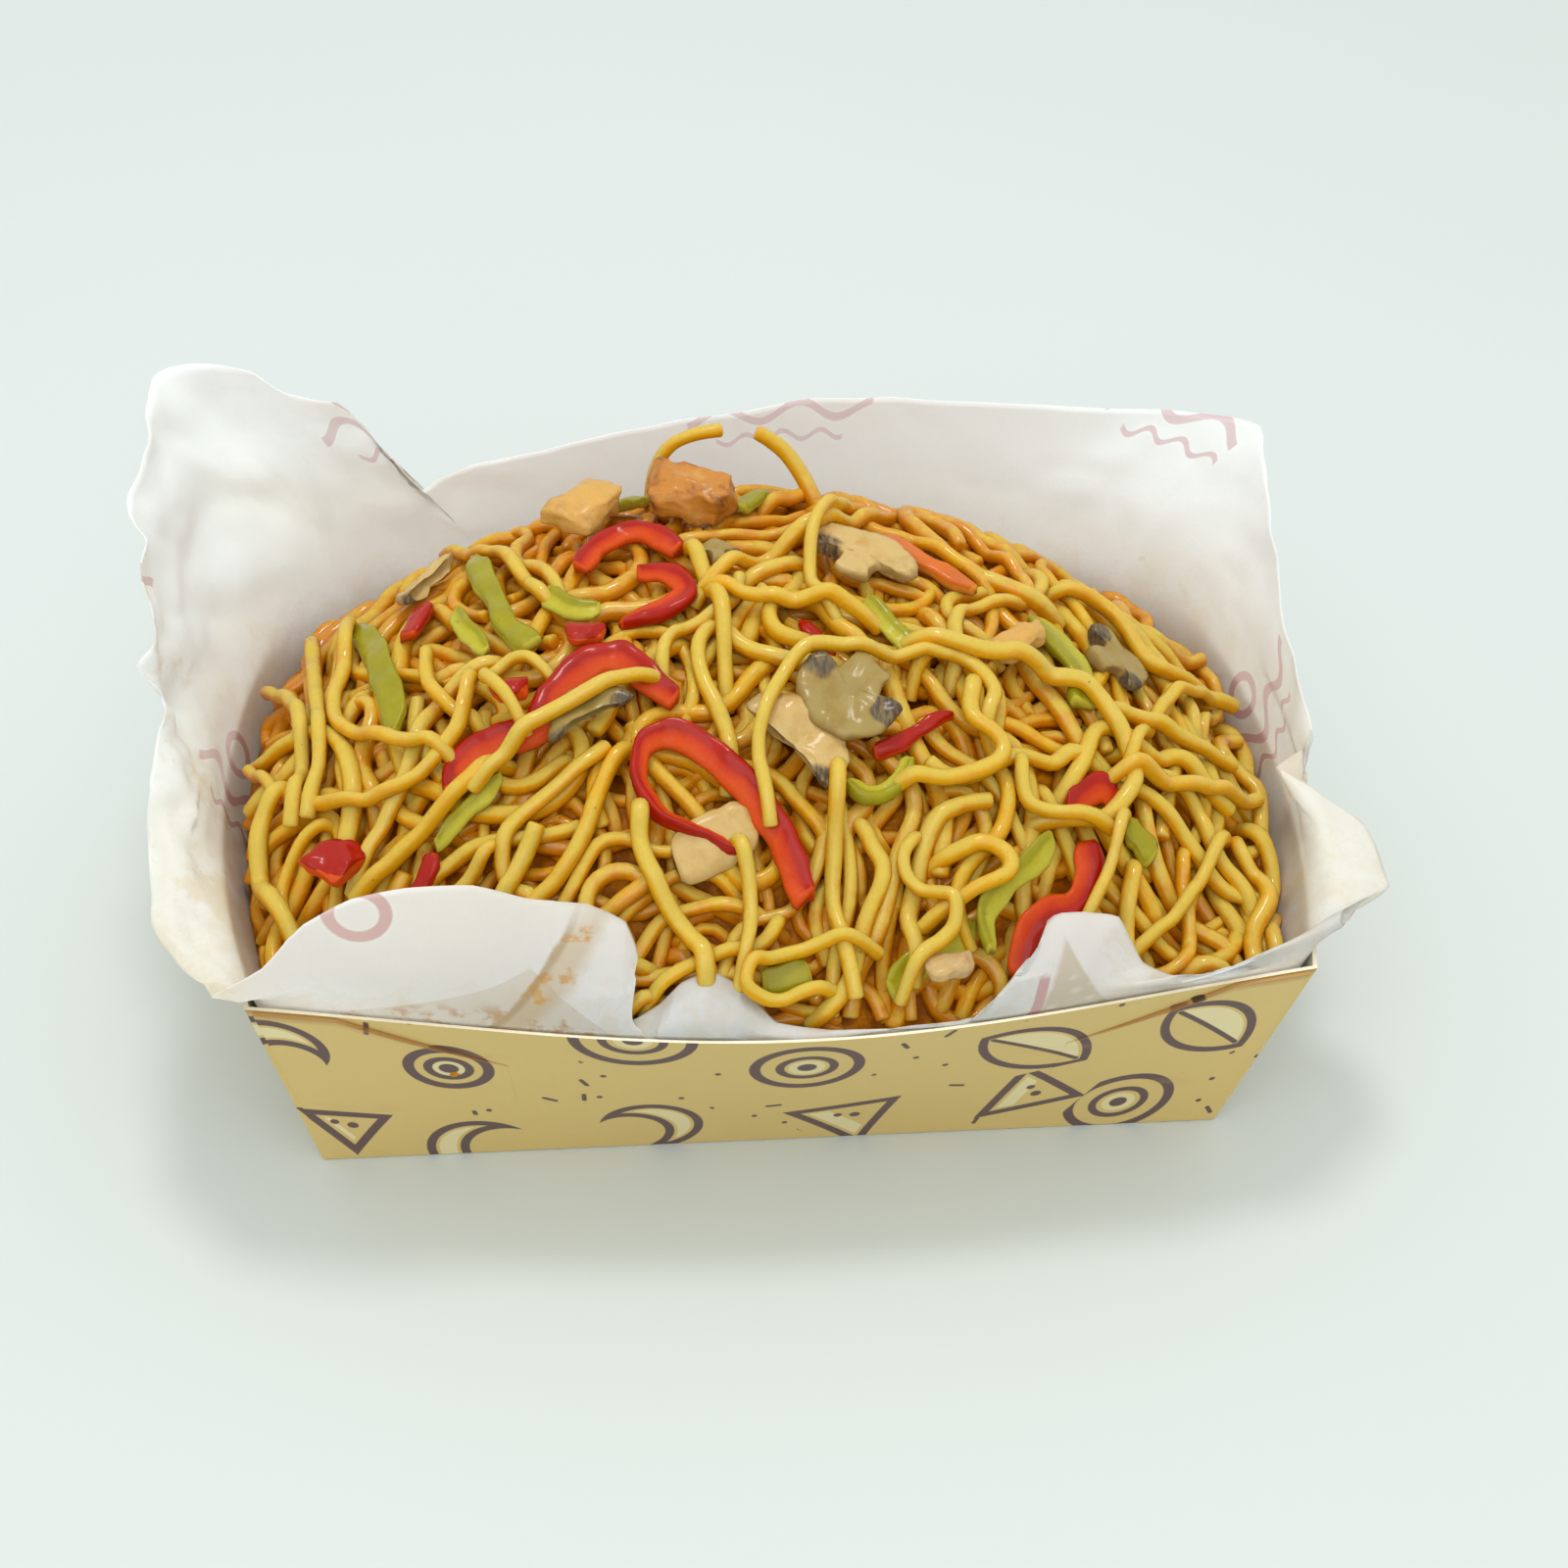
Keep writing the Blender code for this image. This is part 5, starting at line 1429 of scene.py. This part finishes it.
# Name, kind, plan place, width, height and stem of the slice, thickness, turn in degrees, curl, side of
# the dark gills, and whether noodles keep off it
SLICES = [
    ("mushroom_cream", "mushroom", (1.0, -28.0), (20.0, 15.0, 0.0), 2.2, -52.0, 0.9, 1, True),
    ("mushroom_dark", "dark_mushroom", (12.5, -18.5), (18.0, 16.0, 9.0), 2.4, 140.0, 1.1, -1, True),
    ("mushroom_back", "mushroom", (17.0, 12.5), (21.0, 13.0, 8.0), 2.2, -28.0, 0.8, -1, False),
    ("mushroom_left", "mushroom", (-57.5, 24.0), (15.0, 9.0, 0.0), 2.2, 55.0, 0.8, -1, False),
    ("mushroom_right", "dark_mushroom", (61.5, 2.5), (15.0, 12.0, 6.5), 2.2, -60.0, 0.6, -1, True),
    ("mushroom_grey", "dark_mushroom", (-30.5, -21.5), (15.0, 10.0, 0.0), 2.0, 28.0, 0.5, 1, False),
    ("mushroom_crest", "dark_mushroom", (-7.5, 15.5), (9.0, 7.0, 3.5), 2.0, 10.0, 0.4, -1, False),
]

# Name, kind, plan place, size, turn in degrees, boxiness, roughness and whether noodles keep off it
CHUNKS = [
    ("chunk_left", "fried", (-29.5, 31.5), (14.0, 9.0, 5.0), 50.0, 6.0, 0.30, True),
    ("chunk_crest", "browned", (-11.0, 32.0), (15.0, 10.0, 7.0), -15.0, 7.0, 0.45, True),
    ("chunk_right", "fried", (43.0, -3.5), (12.0, 5.5, 4.0), 45.0, 5.0, 0.3, True),
    ("onion_front", "onion", (24.5, -58.0), (8.0, 5.0, 3.0), 10.0, 4.0, 0.2, True),
    ("pepper_red_nugget", "red", (-31.0, -3.5), (6.5, 4.5, 3.0), 0.0, 4.0, 0.15, True),
    ("pepper_red_corner", "red", (-72.5, -31.5), (9.0, 8.0, 4.0), 40.0, 7.0, 0.2, True),
    ("pepper_red_tucked", "red", (-43.5, -14.5), (6.0, 4.0, 3.0), 10.0, 6.0, 0.15, True),
]


def pepper_material(name, skin, flesh, core):
    """Glossy skin over paler flesh that shows on the cut sides."""
    finish = Finish(name, ior=1.45, specular_ior_level=0.14, subsurface_weight=0.10, subsurface_scale=0.001,
                    coat_roughness=0.08)
    at = finish.place()
    top = finish.kept("skin")
    cloud = finish.noise(at, 4.0, 3.0)
    fine = finish.noise(at, 0.7, 2.0)
    mottled = finish.tint(skin, 0.72 + cloud * 0.56)
    inner = finish.mix((top + (cloud - 0.5) * 0.3).between(0.0, 0.5), core, flesh)
    inner = finish.tint(inner, 0.88 + fine * 0.24)
    share = (top + (fine - 0.5) * 0.16 + (cloud - 0.5) * 0.2).between(0.34, 0.52)
    base = finish.mix(share, inner, mottled)
    singe = finish.noise(at, 2.6, 3.0).between(0.68, 0.76)
    base = finish.mix(singe * 0.4, base, (0.10, 0.03, 0.01))
    return finish.surface(base=base, roughness=0.42 - share * 0.18 + fine * 0.10, coat=0.10 + 0.18 * share,
                          normal=finish.bump(cloud * 0.8 + fine * 0.4, 0.22, 0.6))


def mushroom_material(name, pale, gill, gill_share):
    """Soft cut face with a browned rim and dark gills."""
    finish = Finish(name, ior=1.4, specular_ior_level=0.2, subsurface_weight=0.1, subsurface_scale=0.001,
                    coat_roughness=0.15)
    at = finish.place()
    gills = finish.kept("gill")
    rim = finish.kept("rim")
    cloud = finish.noise(at, 3.4, 4.0, 0.6)
    fine = finish.noise(at, 0.6, 3.0)
    browner = tuple(part * share for part, share in zip(pale, (0.86, 0.76, 0.55)))
    base = finish.mix(cloud.between(0.40, 0.75), pale, browner)
    base = finish.mix((rim + (cloud - 0.5) * 0.3).between(0.86, 1.0) * 0.55, base, (0.26, 0.15, 0.04))
    stripes = finish.noise(finish.vector("MULTIPLY", at, (2.2, 0.7, 0.7)), 1.2, 2.0).between(0.35, 0.65)
    dark = (gills * gill_share + (cloud - 0.5) * 0.5).between(0.30, 0.85)
    base = finish.mix(dark * (0.6 + 0.4 * stripes), base, gill)
    return finish.surface(base=base, roughness=0.34 + fine * 0.22, coat=0.16 + cloud * 0.28,
                          normal=finish.bump(cloud * 0.6 + fine * 0.3 + stripes * gills, 0.25, 0.6))


def fried_material(name, colour, dark):
    """Seared and oily piece with darker edges."""
    finish = Finish(name, ior=1.42, specular_ior_level=0.3, subsurface_weight=0.1, subsurface_scale=0.001,
                    coat_roughness=0.15)
    at = finish.place()
    rim = finish.kept("rim")
    cloud = finish.noise(at, 3.0, 4.0, 0.6)
    fine = finish.noise(at, 0.6, 3.0)
    base = finish.mix((cloud + rim * 0.35).between(0.50, 0.95), colour, dark)
    base = finish.mix(finish.noise(at, 6.0, 2.0).between(0.55, 0.75) * 0.4, base, (0.62, 0.44, 0.14))
    base = finish.tint(base, 0.92 + fine * 0.16)
    return finish.surface(base=base, roughness=0.32 + fine * 0.24, coat=0.4 * cloud,
                          normal=finish.bump(cloud + fine * 0.5, 0.4, 0.6))


def topping_materials(settings, kinds):
    """Materials of the asked kinds of topping."""
    makers = {
        "red": lambda: pepper_material("red_pepper_flesh", settings.red, (0.46, 0.024, 0.004),
                                       (0.58, 0.070, 0.006)),
        "green": lambda: pepper_material("green_pepper_flesh", settings.green, (0.38, 0.335, 0.018),
                                         (0.46, 0.42, 0.04)),
        "orange": lambda: pepper_material("orange_pepper_flesh", settings.orange, (0.60, 0.17, 0.015),
                                          (0.66, 0.26, 0.03)),
        "mushroom": lambda: mushroom_material("mushroom_pale", settings.mushroom, settings.gill, 0.9),
        "dark_mushroom": lambda: mushroom_material("mushroom_olive", (0.32, 0.235, 0.07), settings.gill, 1.9),
        "fried": lambda: fried_material("fried_piece", settings.fried, (0.42, 0.20, 0.04)),
        "browned": lambda: fried_material("browned_piece", settings.browned, (0.16, 0.045, 0.008)),
        "onion": lambda: fried_material("onion_piece", (0.50, 0.34, 0.15), (0.36, 0.16, 0.03)),
    }
    return {kind: makers[kind]() for kind in kinds}


def bed_height(x, y):
    return heap_height(x, y) - TOPPING_BED


def seat_on_node(points, node):
    """Moves points so that the middle of their height is the CAD node's."""
    low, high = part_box(node)
    shift = 0.5 * (low[2] + high[2]) / MM - 0.5 * (points[:, 2].min() + points[:, 2].max())
    points[:, 2] += shift
    return points


def roughen(points, size, depth, seed):
    """Shifts points by smooth noise so that cut edges run uneven."""
    for index, point in enumerate(points):
        spot = Vector(point) / size + Vector((seed, 0.0, 0.0))
        points[index] += np.array(noise.noise_vector(spot)) * depth
    return points


# Cut sections of a strip, as across, level and skin: skin on top, and skin on one side
SKIN_UP = [
    (-0.96, 0.12, 0.1), (-1.02, 0.50, 0.25), (-0.92, 0.86, 0.8), (-0.66, 1.03, 1.0), (-0.25, 0.99, 1.0),
    (0.2, 0.97, 1.0), (0.6, 1.02, 1.0), (0.90, 0.90, 0.85), (1.02, 0.52, 0.25), (0.97, 0.12, 0.1),
    (0.70, 0.0, 0.0), (0.3, 0.10, 0.0), (-0.3, 0.12, 0.0), (-0.70, 0.0, 0.0),
]
SKIN_ASIDE = [
    (-0.94, 0.02, 0.0), (-1.02, 0.26, 0.0), (-0.93, 0.52, 0.05), (-0.62, 0.64, 0.15), (-0.22, 0.74, 0.30),
    (0.15, 0.88, 0.48), (0.42, 1.02, 0.75), (0.66, 1.05, 1.0), (0.88, 0.95, 1.0), (1.02, 0.66, 1.0),
    (1.03, 0.30, 1.0), (0.88, 0.02, 0.7), (0.3, 0.06, 0.0), (-0.4, 0.06, 0.0),
]


def strip_points(knots, width, thickness, ends, skin_side, seed):
    """Closed sections along a cut strip, with the skin value of each point."""
    path = smooth_path(knots, 0.7)
    count = len(path)
    ahead = np.gradient(path, axis=0)
    ahead /= np.linalg.norm(ahead, axis=1, keepdims=True)
    side = np.column_stack((-ahead[:, 1], ahead[:, 0]))
    share = np.linspace(0.0, 1.0, count)
    slope = ends[2] if len(ends) > 2 else 3.2
    taper = np.minimum(1.0, np.minimum(ends[0] + share * slope, ends[1] + (1 - share) * 3.2))
    blunt = np.minimum(1.0, np.minimum(share, 1 - share) * count * 0.7 / 1.1 + 0.80)
    wobble = 1 + 0.07 * np.sin(share * 7.0 + seed) + 0.03 * np.sin(share * 19.0 + 2 * seed)
    half = 0.44 * width * taper * blunt * wobble
    tall = thickness * (0.75 + 0.25 * taper) * (1 + 0.05 * np.sin(share * 9.0 + seed))
    section = SKIN_ASIDE if skin_side else SKIN_UP
    if skin_side < 0:
        section = [(-across, level, skin) for across, level, skin in section[::-1]]
    kernel = np.array((0.1, 0.2, 0.4, 0.2, 0.1))

    def soft_bed(spots):
        return np.convolve(np.pad(bed_height(spots[:, 0], spots[:, 1]), 2, mode="edge"), kernel, mode="valid")

    left_z = soft_bed(path + side * half[:, None])
    right_z = soft_bed(path - side * half[:, None])
    middle_z = soft_bed(path)
    rows = []
    for across, level, skin in section:
        spot = path + side * (half * across)[:, None]
        beside = left_z if across > 0 else right_z
        bed = middle_z + (beside - middle_z) * abs(across)
        rows.append(np.column_stack((spot, bed + 0.3 + level * tall)))
    return np.stack(rows, axis=1), np.tile([skin for across, level, skin in section], (count, 1))


def loft_rows(rows):
    """Faces of a tube of sections with its two ends closed."""
    count, sides = rows.shape[:2]
    index = np.arange(count * sides).reshape(count, sides)
    after = np.roll(index, -1, axis=1)
    quads = np.stack((index[:-1], index[1:], after[1:], after[:-1]), axis=-1).reshape(-1, 4).tolist()
    return quads + [index[0].tolist(), index[-1][::-1].tolist()]


def add_strip(name, kind, knots, width, thickness, ends, skin_side, materials):
    """Cut strip of pepper, or a slice of mushroom seen edge on."""
    seed = random.Random(name).uniform(0, 6)
    rows, skin = strip_points(knots, width, thickness, ends, skin_side, seed)
    points = roughen(rows.reshape(-1, 3), 5.0, 0.7, seed)
    points = seat_on_node(roughen(points, 1.2, 0.12, seed), name)
    piece = add_piece(name + "_strip", points, loft_rows(rows), [materials[kind]], [name])
    skin = skin.copy()
    skin[0] = skin[-1] = 0.0
    keep_values(piece.data, "skin", skin.ravel())
    keep_values(piece.data, "gill", np.zeros(skin.size))
    keep_values(piece.data, "rim", 0.5 * skin.ravel())
    return points


def mushroom_outline(width, height, stem):
    """Half cap over a stem, as a lengthwise cut shows it, or a bare crescent without a stem."""
    def arc(wide, tall, start, stop):
        return [(wide * math.cos(turn), tall * math.sin(turn)) for turn in np.linspace(start, stop, 17)]

    points = arc(0.5 * width, 0.62 * height, 0.0, math.pi)
    if not stem:
        hollow = arc(0.40 * width, 0.22 * height, math.pi, 0.0)[1:-1]
        return points + [(across, level - 0.05 * height) for across, level in hollow]
    curl = 0.12 * height
    points.extend(((-0.47 * width, -0.8 * curl), (-0.40 * width, -curl), (-0.5 * stem, -0.3 * curl),
                   (-0.40 * stem, -0.20 * height), (-0.42 * stem, -0.38 * height), (0.0, -0.41 * height),
                   (0.42 * stem, -0.38 * height), (0.40 * stem, -0.20 * height), (0.5 * stem, -0.3 * curl),
                   (0.40 * width, -curl), (0.47 * width, -0.8 * curl)))
    return points


def add_slice(name, kind, centre, size, thickness, turn, curl, dark_side, materials):
    """Mushroom slice with rounded rim, curled cap, gills on its darker side and a stem."""
    x, y = centre
    seed = random.Random(name).uniform(0, 9)
    reach = 6.0
    slope = np.array((bed_height(x - reach, y) - bed_height(x + reach, y),
                      bed_height(x, y - reach) - bed_height(x, y + reach), 2 * reach))
    slope /= np.linalg.norm(slope)
    angle = math.radians(turn)
    across = np.array((math.cos(angle), math.sin(angle), 0.0))
    across -= slope * across.dot(slope)
    across /= np.linalg.norm(across)
    up = np.cross(slope, across)
    corners = mushroom_outline(*size)
    outline = smooth_path(corners + corners[:1], 0.5)[:-1]
    middle = np.array((0.0, 0.06 * size[1]))
    levels = ((0.0, 0.50), (0.2, 0.50), (0.4, 0.52), (0.6, 0.50), (0.75, 0.52), (0.88, 0.48), (0.96, 0.36),
              (1.0, 0.15), (1.0, -0.22), (0.93, -0.44), (0.8, -0.5), (0.4, -0.5), (0.0, -0.5))
    rows, gills, rims = [], [], []
    for share, level in levels:
        spots = middle + (outline - middle) * max(share, 0.02)
        warp = curl * ((spots[:, 0] / (0.5 * size[0])) ** 2 - 0.4) + 0.3 * np.sin(spots[:, 1] * 0.5 + seed)
        lift = level * thickness + warp
        rows.append(np.array((x, y, 0.0)) + spots[:, :1] * across + spots[:, 1:] * up + lift[:, None] * slope)
        beside = np.clip((np.abs(spots[:, 0]) - (0.40 * size[2] or 0.22 * size[0])) / 1.6, 0, 1)
        under = np.clip((0.24 * size[1] - spots[:, 1]) / 2.4, 0, 1)
        shade = np.where(spots[:, 0] * dark_side > 0, 1.0, 0.45)
        gills.append(beside * under * shade)
        rims.append(np.full(len(spots), share))
    rows = np.stack(rows, axis=0)
    points = rows.reshape(-1, 3)
    points[:, 2] += 70.0
    points = seat_on_node(roughen(roughen(points, 4.0, 0.9, seed), 1.0, 0.16, seed), name)
    piece = add_piece(name + "_slice", points, loft_rows(rows), [materials[kind]], [name])
    keep_values(piece.data, "gill", np.concatenate(gills))
    keep_values(piece.data, "rim", np.concatenate(rims))
    return points


def add_chunk(name, kind, centre, size, turn, boxiness, rough, materials):
    """Cut piece: a rounded block with a few sliced corners and an uneven surface."""
    seed = random.Random(name)
    shape = bmesh.new()
    bmesh.ops.create_cube(shape, size=2.0)
    bmesh.ops.subdivide_edges(shape, edges=shape.edges, cuts=15, use_grid_fill=True)
    points = np.array([vertex.co[:] for vertex in shape.verts])
    faces = [tuple(vertex.index for vertex in face.verts) for face in shape.faces]
    shape.free()
    points /= (np.abs(points) ** boxiness).sum(axis=1, keepdims=True) ** (1 / boxiness)
    for cut in range(5):
        normal = np.array([seed.gauss(0, 1), seed.gauss(0, 1), seed.uniform(0.1, 1.2)])
        normal /= np.linalg.norm(normal)
        over = np.maximum(points @ normal - seed.uniform(0.86, 1.05), 0.0)
        points -= over[:, None] * normal * 0.92
    edge = (np.sort(np.abs(points), axis=1)[:, 1]) ** 4
    skin = (points[:, 2] > 0.35).astype(float)
    points[:, 0] *= 1 + 0.16 * points[:, 1]
    points[:, 1] *= 1 - 0.14 * points[:, 0]
    points[:, 2] *= 1 + 0.14 * points[:, 0]
    points *= 0.5 * np.array(size)
    cos, sin = math.cos(math.radians(turn)), math.sin(math.radians(turn))
    spun = points @ np.array(((cos, sin, 0.0), (-sin, cos, 0.0), (0.0, 0.0, 1.0)))
    spun[:, :2] += centre
    offset = seed.uniform(0, 9)
    spun = roughen(roughen(spun, 3.4, 2.4 * rough, offset), 1.2, 0.8 * rough, offset)
    spun = seat_on_node(spun, name)
    piece = add_piece(name + "_piece", spun, faces, [materials[kind]], [name])
    keep_values(piece.data, "skin", skin)
    keep_values(piece.data, "rim", edge)
    return spun


def lay_toppings(context, kinds):
    """Builds the strips, slices and pieces of these kinds and lays them on the heap."""
    noise.seed_set(context.scene.noodlebox_heap.seed)
    materials = topping_materials(context.scene.noodlebox_toppings, kinds)
    for build, shapes in ((add_strip, STRIPS), (add_slice, SLICES), (add_chunk, CHUNKS)):
        for *shape, clear in shapes:
            if shape[1] in kinds:
                HEAP.field.lay_points(build(*shape, materials), 0.7, clear)


class BOX_OT_peppers(bpy.types.Operator):
    """Builds the strips and corners of red, green and orange pepper"""
    bl_idname = "noodlebox.peppers"
    bl_label = "Peppers"

    def execute(self, context):
        lay_toppings(context, ("red", "green", "orange"))
        return {"FINISHED"}


class BOX_OT_mushrooms(bpy.types.Operator):
    """Builds the pale and the dark mushroom slices"""
    bl_idname = "noodlebox.mushrooms"
    bl_label = "Mushrooms"

    def execute(self, context):
        lay_toppings(context, ("mushroom", "dark_mushroom"))
        return {"FINISHED"}


class BOX_OT_fried_pieces(bpy.types.Operator):
    """Builds the fried pieces and the piece of onion"""
    bl_idname = "noodlebox.fried_pieces"
    bl_label = "Fried pieces"

    def execute(self, context):
        lay_toppings(context, ("fried", "browned", "onion"))
        return {"FINISHED"}


class BOX_OT_upper_noodles(bpy.types.Operator):
    """Lays the noodles above the toppings, with those that stand out in the photo"""
    bl_idname = "noodlebox.upper_noodles"
    bl_label = "Upper noodles"

    def execute(self, context):
        upper = HEAP.fill(*UPPER_LAYER)
        shown = HEAP.lay_shown()
        top = HEAP.fill(*TOP_LAYER)
        HEAP.build("noodles_upper", upper, 10, 1.25)
        HEAP.build("noodles_shown", shown + top, 12, 1.0)
        return {"FINISHED"}


# Stage

class BOX_OT_stage(bpy.types.Operator):
    """Sets the pale table, soft light and the camera"""
    bl_idname = "noodlebox.stage"
    bl_label = "Stage"

    def execute(self, context):
        settings = context.scene.noodlebox_stage
        self.add_floor(settings)
        self.add_light("key_softbox", (-0.04, 0.20, 1.1), 0.25, 3.2)
        self.add_light("fill_softbox", (-0.3, -1.4, 1.8), 2.2, 16.5)
        world = bpy.data.worlds.new("studio")
        world.use_nodes = True
        sky = Nodes(world.node_tree)
        height = sky.parts(sky.node("ShaderNodeTexCoord", None, None, "Generated"))[2] * 0.5 + 0.5
        stops = ((0.45, (0.70, 0.70, 0.69)), (1.0, (1.04, 1.03, 1.01)))
        glow = sky.node("ShaderNodeValToRGB", {"stops": stops}, {0: height})
        sky.feed(world.node_tree.nodes["Background"].inputs["Color"], glow)
        context.scene.world = world
        context.scene.view_settings.view_transform = "Standard"
        self.add_camera(context, settings)
        return {"FINISHED"}

    def add_floor(self, settings):
        """Pale table just under the box."""
        finish = Finish("pale_table")
        cloud = finish.noise(finish.place(), 220.0, 2.0)
        finish.surface(base=finish.tint(settings.floor, 0.985 + cloud * 0.03), roughness=0.6)
        mesh = bpy.data.meshes.new("table")
        reach = 6.0
        corners = [(-reach, -reach, 0), (reach, -reach, 0), (reach, reach, 0), (-reach, reach, 0)]
        mesh.from_pydata(corners, [], [(0, 1, 2, 3)])
        mesh.materials.append(finish.material)
        floor = bpy.data.objects.new("table", mesh)
        floor.location.z = -0.0002
        bpy.context.scene.collection.objects.link(floor)

    def add_light(self, name, place, size, power):
        """Round softbox that faces the box."""
        light = bpy.data.lights.new(name, "AREA")
        light.shape = "DISK"
        light.size = size
        light.energy = power
        lamp = bpy.data.objects.new(name, light)
        lamp.location = place
        lamp.rotation_euler = (Vector((0, 0, 0.04)) - Vector(place)).to_track_quat("-Z", "Y").to_euler()
        bpy.context.scene.collection.objects.link(lamp)

    def add_camera(self, context, settings):
        """Camera at the angle and distance of the settings."""
        az, el, roll = settings.azimuth, settings.elevation, settings.roll
        back = Vector((math.sin(az) * math.cos(el), -math.cos(az) * math.cos(el), math.sin(el)))
        right = Vector((0, 0, 1)).cross(back).normalized()
        up = back.cross(right)
        turned = right * math.cos(roll) + up * math.sin(roll)
        raised = up * math.cos(roll) - right * math.sin(roll)
        data = bpy.data.cameras.new("camera")
        data.lens = settings.lens
        data.sensor_width = 36.0
        data.clip_start = 0.01
        camera = bpy.data.objects.new("camera", data)
        pose = Matrix((turned, raised, back)).transposed().to_4x4()
        pose.translation = Vector((0.0057, 0.0112, 0.030)) + back * settings.distance
        camera.matrix_world = pose
        context.scene.collection.objects.link(camera)
        context.scene.camera = camera


class BOX_PT_panel(bpy.types.Panel):
    """Sidebar panel that lists the pieces of the box"""
    bl_idname = "BOX_PT_panel"
    bl_label = "Noodle box"
    bl_space_type = "VIEW_3D"
    bl_region_type = "UI"
    bl_category = "Noodle box"

    def draw(self, context):
        for settings in ("tray", "liner", "heap", "toppings", "stage"):
            group = getattr(context.scene, "noodlebox_" + settings)
            box = self.layout.box()
            for key in group.__annotations__:
                box.prop(group, key)
        for name in PIECES:
            self.layout.operator("noodlebox." + name)


PIECES = ("tray", "liner", "core", "lower_noodles", "peppers", "mushrooms", "fried_pieces", "upper_noodles",
          "stage")
SETTINGS = {"tray": TraySettings, "liner": LinerSettings, "heap": HeapSettings, "toppings": ToppingSettings,
            "stage": StageSettings}
CLASSES = (*SETTINGS.values(), BOX_OT_tray, BOX_OT_liner, BOX_OT_core, BOX_OT_lower_noodles, BOX_OT_peppers,
           BOX_OT_mushrooms, BOX_OT_fried_pieces, BOX_OT_upper_noodles, BOX_OT_stage, BOX_PT_panel)


def register():
    for item in CLASSES:
        bpy.utils.register_class(item)
    for name, group in SETTINGS.items():
        setattr(bpy.types.Scene, "noodlebox_" + name, PointerProperty(type=group))


def unregister():
    for name in SETTINGS:
        delattr(bpy.types.Scene, "noodlebox_" + name)
    for item in reversed(CLASSES):
        bpy.utils.unregister_class(item)


def main():
    register()
    for name in PIECES:
        getattr(bpy.ops.noodlebox, name)()


if __name__ == "__main__":
    main()
